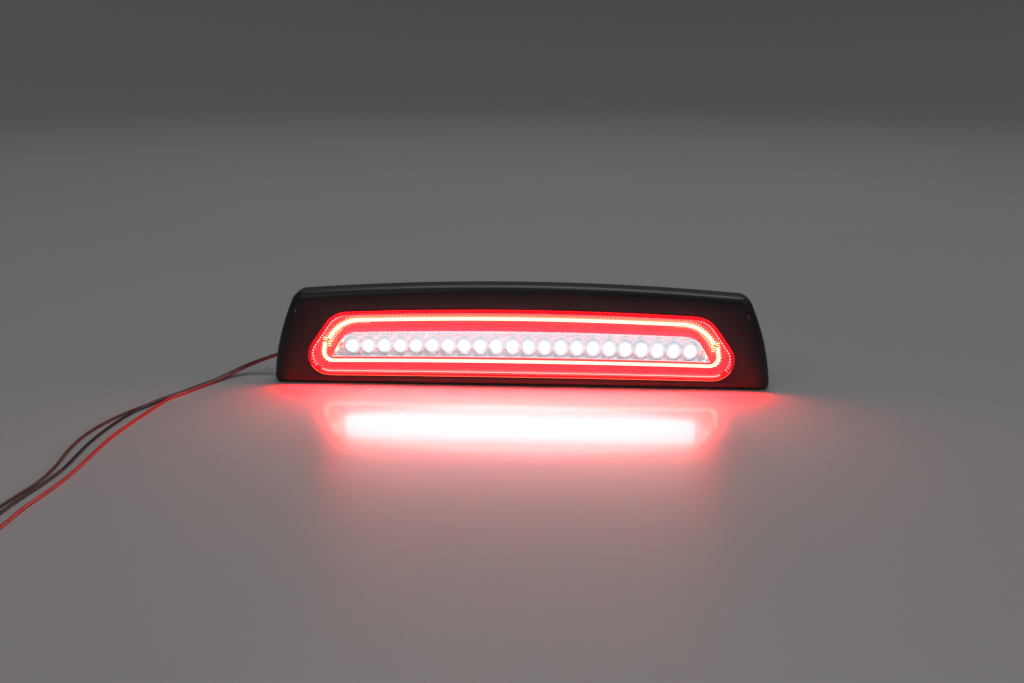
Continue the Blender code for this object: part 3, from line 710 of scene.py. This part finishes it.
def guide_bar(name, path, way, width, stripe, looks, replaced, toothed, leg, fan):
    """A guide along a path: clear bar, lit stripe on its front, and teeth at its edges.

    way turns the side direction outwards; stripe is the lit stripe's (offset at the ends,
    offset in the middle, width); toothed(share of the run) gives the length of the teeth on
    the outer and the inner side; fan is the number of loose teeth past each end."""
    bar_look, stripe_look, tooth_look = looks
    fine = resampled(path, 0.6, way)
    total = fine[-1][2]
    half = width / 2
    data = bmesh.new()
    profile = rounded([(half, 0.3), (-half, 0.3), (-half, HALO_THICK), (half, HALO_THICK)], 0.6, 2)
    sweep_into(data, fine, profile, HALO_FRONT)
    end_x, end_z = abs(path[0][0]), path[0][1]
    for sign in (-1, 1):
        block_into(data, (sign * end_x - half + 0.2, HALO_FRONT + 2, end_z + min(0, leg)),
                   (sign * end_x + half - 0.2, BOARD_FRONT - 1.4, end_z + max(0, leg)), 0.3)
    finish_mesh(name, data, bar_look, smooth=50, replaces=replaced)

    data = bmesh.new()
    end_offset, middle_offset, lit = stripe

    def centred(points):
        moved = []
        for point, side, at in points:
            part = min(min(at, total - at) / total / STRIPE_SHIFT, 1.0)
            part = part * part * (3 - 2 * part)
            moved.append((point + side * (end_offset + (middle_offset - end_offset) * part), side, at))
        return moved

    low, high = -lit / 2, lit / 2
    profile = rounded([(high, 0.0), (low, 0.0), (low, STRIPE_THICK), (high, STRIPE_THICK)], 0.35, 2)
    sweep_into(data, centred(fine), profile, HALO_FRONT)
    finish_mesh(name + "_stripe", data, stripe_look, smooth=60)

    data = bmesh.new()
    for point, side, at in centred(resampled(path, TOOTH_PITCH, way)):
        for across, length, sign in zip((high, low), toothed(at / total), (1, -1)):
            if length:
                along = Vector((side.y, -side.x)) * TOOTH_WIDTH / 2
                root = point + side * (across - sign * TOOTH_ROOT)
                tip = point + side * (across + sign * length)
                corners = [root - along, root + along, tip + along * 0.5, tip - along * 0.5]
                bridge(data, [[data.verts.new(place(spot.x, depth, spot.y)) for spot in corners]
                              for depth in (TOOTH_FRONT, TOOTH_BACK)])
    for step in range(1, fan + 1):
        z = end_z - math.copysign(FAN_PITCH * step, leg)
        for sign in (-1, 1):
            block_into(data, (sign * end_x - FAN_HALF, TOOTH_FRONT, z - TOOTH_WIDTH / 2),
                       (sign * end_x + FAN_HALF, TOOTH_BACK, z + TOOTH_WIDTH / 2), 0.1)
    finish_mesh(name + "_teeth", data, tooth_look, smooth=20)


def side_run(shape, low, high, steps):
    bottom, top = Vector(shape["bottom"]), Vector(shape["top"])
    points = []
    for i in range(steps + 1):
        z = low + (high - low) * i / steps
        point = bottom.lerp(top, (z - bottom.y) / (top.y - bottom.y))
        points.append((point.x, arched(point.x, z)))
    return points


def halo_guides(looks):
    """The two guides that make the glowing ring, with fine teeth along their edges."""
    steps = (24, 24, 8, 48)
    loop = outline(UPPER_HALO, steps=steps)
    half = loop[:len(loop) // 2 + 1]
    arc_start = steps[0] + steps[1] + 1 + steps[2] - 1
    upper = side_run(UPPER_HALO, UPPER_END, UPPER_END + 1.5, 3) + half[arc_start:]
    upper += [(-x, z) for x, z in reversed(upper[:-1])]

    def upper_teeth(share):
        end = min(share, 1 - share)
        outer = 1.3 if end < 0.06 else 2.0 if end < 0.2 else 1.7
        inner = 2.2 if end < 0.045 else 1.2 if end < 0.12 else 0.0
        return outer, inner

    guide_bar("halo_upper", upper, 1, HALO_WIDTH["upper"], (0.4, -1.1, 2.5), looks, "halo_guide_upper",
              upper_teeth, leg=3.2, fan=3)
    loop = outline(LOWER_HALO, steps=steps)
    half = loop[:steps[0] + steps[1] + 1]
    lower = list(reversed(half + side_run(LOWER_HALO, LOWER_END - 3.0, LOWER_END, 3)))
    lower += [(-x, z) for x, z in reversed(lower[:-1])]

    def lower_teeth(share):
        end = min(share, 1 - share)
        return (1.0, 0.8) if end < 0.05 else (0.0, 0.0)

    guide_bar("halo_lower", lower, -1, HALO_WIDTH["lower"], (0.0, 0.0, 2.4), looks, "halo_guide_lower",
              lower_teeth, leg=-3.0, fan=2)


# ---- fasteners and small parts ----

SCREW_SHANK, SCREW_TIP, SCREW_HEAD, SCREW_CROWN = 1.3, 10.0, 2.9, 1.3


def case_screws(look):
    """Pan-head screws with a cross recess."""
    seat, rim = SKIRT_BACK + 0.3, SKIRT_BACK + 1.1
    for number, (x, z) in enumerate(CASE_SCREWS, start=1):
        data = bmesh.new()
        head = [(SCREW_SHANK, SCREW_TIP), (SCREW_SHANK, seat), (SCREW_HEAD, seat), (SCREW_HEAD, rim)]
        head += [(SCREW_HEAD * math.cos(turn), rim + SCREW_CROWN * math.sin(turn))
                 for turn in (0.3, 0.6, 0.9, 1.2)]
        turned_into(data, head, on_arch(x, z), 32)
        screw = finish_mesh("screw_%d" % number, data, look, smooth=30,
                            replaces="case_screw_%d" % number)
        cut = bmesh.new()
        for long_x in (1.5, 0.32):
            long_z = 1.82 - long_x
            block_into(cut, (x - long_x, SKIRT_BACK + 1.3, arched(x, z) - long_z),
                       (x + long_x, SKIRT_BACK + 4.0, arched(x, z) + long_z), 0.0)
        carve(screw, cut)


def carve(piece, data):
    """Cut every body in the mesh data out of a piece, and apply it."""
    tool = added("cutter", mesh_of("cutter", data))
    change = piece.modifiers.new("cut", 'BOOLEAN')
    change.operation = 'DIFFERENCE'
    change.object = tool
    change.use_self = True
    bpy.context.view_layer.update()
    depsgraph = bpy.context.evaluated_depsgraph_get()
    carved = bpy.data.meshes.new_from_object(piece.evaluated_get(depsgraph))
    piece.modifiers.clear()
    piece.data = carved
    bpy.data.objects.remove(tool)


THREAD_PITCH, THREAD_STEPS, THREAD_ROOT, THREAD_RISE = 0.8, 6, 2.08, 0.42
THREAD_START, THREAD_STOP = 22.5, 45.6
NUT_FLAT, NUT_FLANGE_BACK = 4.0, 33.4


def thread_size(radius, depth, angle):
    """Radius of a stud at a depth and angle; it is threaded where radius is None."""
    if radius is not None:
        return radius
    phase = (depth / THREAD_PITCH - angle / (2 * math.pi)) % 1.0
    return THREAD_ROOT + THREAD_RISE * (1 - abs(phase * 2 - 1))


def nut_size(radius, depth, angle):
    """Radius of a nut at a depth and angle: cut to its hexagon behind the flange."""
    flat = NUT_FLAT / math.cos((angle + math.pi / 6) % (math.pi / 3) - math.pi / 6)
    return min(radius, flat) if depth > NUT_FLANGE_BACK else radius


def wheel_into(data, centre, rows, sides, size_at, ring=False):
    """Add a body round an axis that runs backwards, its radius given by size_at."""
    loops = []
    for radius, depth in rows:
        loop = []
        for i in range(sides):
            angle = 2 * math.pi * i / sides
            size = size_at(radius, depth, angle)
            spoke = Vector((math.cos(angle) * size, depth, math.sin(angle) * size))
            loop.append(data.verts.new(centre + spoke * MM))
        loops.append(loop)
    bridge(data, loops, ring)


def studs(look):
    """Flat-headed M5 studs with a rolled thread, and their flange nuts."""
    rows = [(5.0, 15.6), (5.0, 19.2), (2.5, 19.2), (2.5, 22.4)]
    depth = THREAD_START
    while depth < THREAD_STOP:
        rows.append((None, depth))
        depth += THREAD_PITCH / THREAD_STEPS
    rows += [(2.1, 45.7), (1.8, 46.0)]
    nut_rows = [(6.2, 32.2), (6.2, 32.6), (5.6, 33.3), (5.0, 33.5), (5.0, 36.4), (4.35, 37.0),
                (3.3, 37.0), (2.6, 36.6), (2.6, 32.6), (3.3, 32.2)]
    for side, spot in STUDS.items():
        data = bmesh.new()
        wheel_into(data, on_arch(*spot), rows, 24, thread_size)
        finish_mesh("threaded_stud_" + side, data, look, smooth=25, replaces="stud_" + side)
        data = bmesh.new()
        wheel_into(data, on_arch(*spot), nut_rows, 48, nut_size, ring=True)
        finish_mesh("flange_nut_" + side, data, look, smooth=25, replaces="stud_nut_" + side)


VENT_PROFILE = ((1.9, -2.0), (1.9, 0.2), (4.0, 0.2), (4.0, 0.8), (3.7, 1.1), (2.9, 1.2), (2.8, 1.0),
                (0.6, 0.95), (0.3, 1.2))
VENT_PEGS, VENT_PEG_RING = 4, 3.44


def vent(look):
    """Round breather cap with pegs at its edge."""
    data = bmesh.new()
    centre = place(60, TUB_BACK, 20)
    turned_into(data, VENT_PROFILE, centre, 40)
    for i in range(VENT_PEGS):
        angle = 2 * math.pi * i / VENT_PEGS
        spot = Vector((math.cos(angle), 0, math.sin(angle))) * VENT_PEG_RING * MM
        turned_into(data, [(0.5, 0.2), (0.5, 0.9), (0.3, 1.1)], centre + spot, 10)
    finish_mesh("vent_cap", data, look, replaces="breather_vent")


SNOUT_END, SNOUT_RIBS, SNOUT_WIDE, SNOUT_SLIM = 130.0, 5, 5.0, 3.7


def grommet(look):
    """Rubber grommet with a ribbed, tapered snout that the leads come out of."""
    wall = TUB["top"][0]
    profile = [(4.8, wall - 4.8), (4.8, wall - 2.8), (3.9, wall - 2.8), (3.9, wall + 0.3),
               (5.9, wall + 0.3), (6.2, wall + 0.6), (6.2, wall + 2.0), (5.9, wall + 2.3)]
    first = wall + 3.4
    run = (SNOUT_END - first) / SNOUT_RIBS
    for rib in range(SNOUT_RIBS):
        start = first + run * rib
        size = SNOUT_WIDE + (SNOUT_SLIM - SNOUT_WIDE) * rib / (SNOUT_RIBS - 1)
        profile += [(size - 0.7, start), (size, start + run * 0.2), (size, start + run * 0.75),
                    (size - 0.7, start + run * 0.95)]
    profile.append((2.9, SNOUT_END - 0.05))
    data = bmesh.new()
    turned_into(data, profile, place(0, 34, 22), 40, axis=(-1, 0, 0))
    finish_mesh("lead_grommet", data, look, replaces="cable_grommet")


# ---- leads and connector ----

def smooth_route(points, count):
    """Evenly spaced points on a smooth curve through the given ones."""
    knots = [Vector(point) for point in points]
    knots = [knots[0] * 2 - knots[1]] + knots + [knots[-1] * 2 - knots[-2]]
    fine = []
    for i in range(1, len(knots) - 2):
        a, b, c, d = knots[i - 1:i + 3]
        for step in range(ROUTE_STEPS):
            t = step / ROUTE_STEPS
            fine.append(0.5 * ((2 * b) + (c - a) * t + (2 * a - 5 * b + 4 * c - d) * t * t
                               + (3 * b - a - 3 * c + d) * t * t * t))
    fine.append(knots[-2])
    lengths = [0.0]
    for first, second in zip(fine, fine[1:]):
        lengths.append(lengths[-1] + (second - first).length)
    route, at = [], 0
    for i in range(count):
        want = lengths[-1] * i / (count - 1)
        while at < len(fine) - 2 and lengths[at + 1] < want:
            at += 1
        gap = lengths[at + 1] - lengths[at]
        route.append(fine[at].lerp(fine[at + 1], min(max((want - lengths[at]) / gap, 0), 1)))
    return route, lengths[-1]


def lead_route(name):
    points = []
    for i, point in enumerate(BUNDLE):
        before, after = Vector(BUNDLE[max(i - 1, 0)]), Vector(BUNDLE[min(i + 1, len(BUNDLE) - 1)])
        along = (after - before).normalized()
        aside = Vector((-along.y, along.x, 0)).normalized() * WIRE_PITCH * WIRE_SIDE[name]
        points.append(Vector(point) + aside)
    return points + [Vector(point) for point in TAILS[name]]


def leads(looks, on_leads):
    """The three free leads, as round PVC-covered wires that lie on the table."""
    for name in TAILS:
        route, length = smooth_route(lead_route(name), WIRE_POINTS)
        curve = bpy.data.curves.new("lead_" + name, 'CURVE')
        curve.dimensions = '3D'
        curve.bevel_depth = WIRE / 2 * MM
        curve.bevel_resolution = 4
        curve.use_fill_caps = True
        spline = curve.splines.new('POLY')
        spline.points.add(len(route) - 1)
        for knot, point in zip(spline.points, route):
            knot.co = (*(point * MM), 1.0)
        spline.use_smooth = True
        colour = name.split("_")[1]
        curve.materials.append(looks[colour])
        lead = added("lead_" + colour, curve)
        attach(lead, BODY)
        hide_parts(name)


# The connector's own origin: the middle of its front, on the floor.
PLUG = Vector((-290.0, -396.0, 0.0))
PLUG_HALF, PLUG_LONG, PIN_PITCH, PIN_HEIGHT = 9.0, 28.0, 4.0, 6.5
GRIP_GROOVES, LOCK_RIBS, GRIP_PITCH = 4, 3, 2.0


def plug_block(data, low, high, bevel=0.4, segments=2):
    """A block given in x, y, z from the connector's own origin."""
    shift = PLUG - Vector((0, FRONT, 0))
    block_into(data, Vector(low) + shift, Vector(high) + shift, bevel, segments)


def connector(body_look, lock_look, seal_look, metal_look):
    """Three-way sealed connector: ribbed body with a latch, seal, side lock and terminals."""
    side, back = PLUG_HALF, PLUG_LONG
    data = bmesh.new()
    plug_block(data, (-side, 0.0, 0.0), (side, back - 2.2, 12.6), 0.9, 3)
    plug_block(data, (-4, 3, 11.8), (4, 22, 13.6))
    plug_block(data, (-4, 17, 12.6), (4, 22, 15.2), 0.7)
    plug_block(data, (-2.6, 4, 12.8), (2.6, 7, 14.6), 0.6)
    for x in (-6.6, 6.6):
        plug_block(data, (x - 0.7, 1, 12.0), (x + 0.7, 24, 13.9))
    body = finish_mesh("plug_body", data, body_look, smooth=30, replaces="connector_body")
    cut, data = bmesh.new(), bmesh.new()
    for k in (-1, 0, 1):
        spot = (PLUG + Vector((PIN_PITCH * k, 0, PIN_HEIGHT))) * MM
        turned_into(cut, [(1.5, -1.0), (1.5, 9.0)], spot, 24)
        turned_into(data, [(1.05, 8.6), (1.05, 1.6), (0.8, 1.2), (0.5, 1.3), (0.5, 3.0)], spot, 20)
    plug_block(cut, (side - 5.3, 10.7, 5.1), (side + 1, 17.3, 7.9), 0.0)
    for i in range(GRIP_GROOVES):
        y = 2.5 + i * GRIP_PITCH
        for x in (-side - 1.0, side - 0.5):
            plug_block(cut, (x, y, 2.5), (x + 1.5, y + 0.9, 10.0), 0.0)
    carve(body, cut)
    terminals = finish_mesh("plug_terminals", data, metal_look)

    data = bmesh.new()
    plug_block(data, (1.5 - side, back - 1.9, 1.8), (side - 1.5, back - 1.3, 11.0), 0.25)
    plug_block(data, (1.9 - side, back - 1.5, 2.2), (side - 1.9, back - 0.6, 10.6), 0.25)
    plug_block(data, (1.5 - side, back - 0.8, 1.8), (side - 1.5, back, 11.0), 0.25)
    seal = finish_mesh("plug_seal", data, seal_look, replaces="connector_seal")

    data = bmesh.new()
    plug_block(data, (side + 0.3, 10, 3.4), (side + 1.9, 18, 9.6), 0.35)
    plug_block(data, (side - 5.0, 11, 5.4), (side + 1.0, 17, 7.6), 0.2)
    for i in range(LOCK_RIBS):
        y = 11.5 + i * GRIP_PITCH
        plug_block(data, (side + 1.5, y, 4.2), (side + 2.25, y + 0.8, 8.8), 0.15)
    lock = finish_mesh("plug_lock", data, lock_look, body="lock", replaces="connector_lock")
    return [body, terminals, seal, lock]


# ---- camera, floor and lights ----

CAMERA_LENS, CAMERA_ROLL = 41.82, 0.189
CAMERA_AT, CAMERA_AIM = (0.03375, -0.87003, 0.2609), (-0.04493, 0.96533, -0.25713)

# Floor: radius of its flat part, radius of the curve up to its wall, and the wall's height.
FLOOR_FLAT, FLOOR_CURVE, FLOOR_WALL = 3.0, 1.5, 5.0
FLOOR_SIDES, FLOOR_STEPS = 96, 16

# Level of the studio light. Each light has its place and aim, its size and its power.
STUDIO = 0.3
STUDIO_LIGHTS = {
    "soft_key": ((-1.5, -1.7, 2.5), (0, 0, 0), (2.4, 2.4), 32),
    "soft_fill": ((2.2, -0.9, 2.2), (0, 0, 0), (2.4, 2.4), 18),
    "soft_back": ((0.2, 1.5, 2.4), (0, 0, 0.05), (2.0, 1.2), 50),
}
# The lamp's own light: depth, height, size in millimetres, power, colour, and the kind of ray
# that misses it. Lights in front of the lens shine out of it, and those behind shine inwards.
LAMP_LIGHTS = {
    "cup_fill": (3.4, 31.0, (262, 20), 0.01, (0.78, 0.96, 1.0), None),
    "window_image_1": (-1.1, 33.0, (284, 38), 0.04, (1.0, 0.9, 0.92), "diffuse"),
    "window_image_2": (-1.2, 33.0, (262, 18), 0.035, (1.0, 0.9, 0.92), "diffuse"),
    "window_beam": (-1.0, 48.0, (262, 12), 0.15, (1.0, 0.94, 0.95), "glossy"),
    "halo_beam": (-1.0, 10.0, (352, 8), 0.6, (1.0, 0.012, 0.02), "glossy"),
    "trough_wash": (3.0, 33.0, (335, 48), 0.13, (1.0, 0.55, 0.95), "glossy"),
}
ROUND_LIGHT = "window_image_1"


def make_camera():
    camera = bpy.data.cameras.new("camera")
    camera.lens = CAMERA_LENS
    camera.sensor_width = 36.0
    camera.clip_start = 0.01
    holder = added("camera", camera)
    holder.location = CAMERA_AT
    roll = Quaternion((0, 0, 1), math.radians(CAMERA_ROLL))
    holder.rotation_mode = 'QUATERNION'
    holder.rotation_quaternion = Vector(CAMERA_AIM).to_track_quat('-Z', 'Y') @ roll
    bpy.context.scene.camera = holder
    bpy.context.scene.view_settings.view_transform = 'Standard'


def area_light(name, place_at, aim_at, size, power, colour=(1, 1, 1)):
    lamp = bpy.data.lights.new(name, 'AREA')
    lamp.shape = 'ELLIPSE' if name == ROUND_LIGHT else 'RECTANGLE'
    lamp.size, lamp.size_y = size
    lamp.energy = power
    lamp.color = colour
    holder = added(name, lamp)
    holder.location = place_at
    holder.rotation_euler = (Vector(aim_at) - Vector(place_at)).to_track_quat('-Z', 'Y').to_euler()
    holder.visible_camera = False
    return holder


def make_floor():
    """A pale glossy floor that curves up far away all round."""
    data = bmesh.new()
    profile = []
    for step in range(FLOOR_STEPS + 1):
        turn = math.pi / 2 * step / FLOOR_STEPS
        profile.append((FLOOR_FLAT + FLOOR_CURVE * math.sin(turn), FLOOR_CURVE * (1 - math.cos(turn))))
    profile.append((FLOOR_FLAT + FLOOR_CURVE, FLOOR_WALL))
    turns = [2 * math.pi * i / FLOOR_SIDES for i in range(FLOOR_SIDES)]
    rings = [[data.verts.new((size * math.cos(turn), size * math.sin(turn), z)) for turn in turns]
             for size, z in profile]
    data.faces.new(rings[0])
    bridge(data, rings, capped=False)
    mesh = mesh_of("floor", data)
    mesh.shade_smooth()
    made, tree, shader = new_material("floor_pale")
    tune(shader, Base_Color=(0.62, 0.61, 0.61, 1.0), Coat_Weight=0.6, Coat_Roughness=0.1)
    tree.links.new(spread(tree, noise(tree, 3.0, 3.0), 0.28, 0.36), shader.inputs["Roughness"])
    mesh.materials.append(made)
    added("floor", mesh)


def make_lights():
    """Soft studio light, a dim surround, and the light that the lamp itself gives."""
    world = bpy.data.worlds.new("studio")
    bpy.context.scene.world = world
    world.use_nodes = True
    tune(world.node_tree.nodes["Background"], Color=(0.9, 0.92, 1.0, 1.0), Strength=STUDIO * 0.25)
    for name, (place_at, aim_at, size, power) in STUDIO_LIGHTS.items():
        area_light(name, place_at, aim_at, size, STUDIO * power)
    for name, (depth, z, size, power, colour, missed_by) in LAMP_LIGHTS.items():
        spot = place(0, depth, z)
        aim = spot + Vector((0, math.copysign(1, depth), 0))
        light = area_light(name, spot, aim, (size[0] * MM, size[1] * MM), power, colour)
        if missed_by:
            setattr(light, "visible_" + missed_by, False)


def dress(look, *names):
    """Give CAD nodes that stay visible their better material."""
    for name in names:
        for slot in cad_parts[name].material_slots:
            slot.material = look


def build():
    case = plastic("case_black", (0.016, 0.016, 0.018), 0.36, grain=0.5)
    red = clear_plastic("lens_red_pmma", (1.0, 0.1, 0.12), (0.98, 0.3, 0.33), 0.02)
    # Painted glow: the red lens gets a faint red emission of its own, for lamp light scattered inside it.
    tune(red.node_tree.nodes["Principled BSDF"], Emission_Color=(1.0, 0.02, 0.04, 1.0),
         Emission_Strength=0.22)
    clear = clear_plastic("lens_clear_pmma", (1.0, 1.0, 1.0), (0.97, 0.97, 0.97), 0.015)
    # Painted shade and highlight: the flute grooves of the trough and cup frame are coloured darker and the
    # crests lighter.
    flute_shaded_satin = fluted("trough_metallised_painted_flute_shade", (0.3, 0.29, 0.29), (0.85, 0.83, 0.83), 0.3, metallic=0.4)
    chrome = plastic("cups_metallised", (0.56, 0.60, 0.64), 0.18, metallic=1.0, tint=1.1)
    guide = glowing("guide_acrylic", (1.0, 0.25, 0.12), 2.5)
    stripe = glowing("guide_stripe_lit", (1.0, 0.5, 0.28), 28.0)
    # Painted glow and glints: the lens edge, the lines and the beads glow, standing in for halo light
    # reflected inside the lens.
    edge_red = glowing("lens_edge_painted_glow_red", (1.0, 0.02, 0.03), 0.5)
    edge_orange = glowing("lens_edge_painted_glint_orange", (1.0, 0.17, 0.09), 1.1)
    teeth = glowing("guide_teeth_lit", (1.0, 0.75, 0.3), 18.0)
    painted_line_glint_look = glowing("lens_glint_painted_bright", (1.0, 0.85, 0.6), 10.0)
    painted_bead_glint_look = glowing("lens_bead_painted_glint", (1.0, 0.8, 0.6), 26.0)
    line_pink = glowing("window_line_painted_glint_pink", (1.0, 0.6, 0.7), 0.8)
    white_glow = glowing("led_lit", (0.95, 0.97, 1.0), 1.3, core=0.08)
    foam = plastic("foam_grey", (0.05, 0.05, 0.053), 0.95, grain=1.0, grain_scale=1400.0)
    rubber = plastic("rubber_black", (0.012, 0.012, 0.012), 0.62, grain=0.3)
    steel = plastic("zinc_plated", (0.55, 0.55, 0.53), 0.3, metallic=1.0, tint=1.1)
    vent_look = plastic("vent_grey", (0.35, 0.36, 0.37), 0.6, grain=0.4)
    board = plastic("board_white", (0.72, 0.74, 0.72), 0.35)
    chip = plastic("chip_black", (0.015, 0.015, 0.016), 0.5, grain=0.3)
    nylon = plastic("header_nylon", (0.75, 0.72, 0.64), 0.45)
    can = plastic("can_aluminium", (0.7, 0.71, 0.73), 0.3, metallic=1.0, tint=1.1)
    red_led = glowing("guide_led_lit", (1.0, 0.1, 0.06), 12.0)
    body_look = plastic("connector_black", (0.018, 0.018, 0.02), 0.45, grain=0.35)
    lock_look = plastic("lock_orange", (0.75, 0.2, 0.02), 0.42, grain=0.2, tint=1.1)
    seal_look = plastic("seal_green", (0.08, 0.25, 0.13), 0.5, tint=1.2)
    jackets = {
        "red": plastic("jacket_red", (0.5, 0.012, 0.012), 0.3, tint=1.2, coat=0.3),
        "black": plastic("jacket_black", (0.012, 0.012, 0.013), 0.3, coat=0.3),
        "brown": plastic("jacket_brown", (0.13, 0.04, 0.02), 0.3, tint=1.2, coat=0.3),
    }

    leads(jackets, connector(body_look, lock_look, seal_look, steel))
    front_bezel(case)
    rear_housing(case)
    foam_gasket(foam)
    seal_ring("seal_lens", LENS, -0.2, -2.2, 12.0, 13.0, rubber, "lens_seal")
    seal_ring("seal_housing", BEZEL, -WALL - 0.4, -WALL - 2.0, 17.6, 19.2, rubber, "housing_seal")
    lenses(red, clear)
    fluted_reflector(flute_shaded_satin)
    painted_lens_glints(painted_line_glint_look, painted_bead_glint_look, edge_red, edge_orange, line_pink)
    cargo_reflector(chrome)
    cargo_leds(white_glow)
    halo_guides((guide, stripe, teeth))
    case_screws(steel)
    studs(steel)
    vent(vent_look)
    grommet(rubber)
    dress(board, "led_board")
    dress(chip, "driver_chip", "reverse_diode")
    dress(can, "filter_capacitor")
    dress(nylon, "lead_header")
    for level in ("upper", "lower"):
        dress(red_led, "halo_led_%s_left" % level, "halo_led_%s_right" % level)


make_camera()
make_floor()
make_lights()
build()
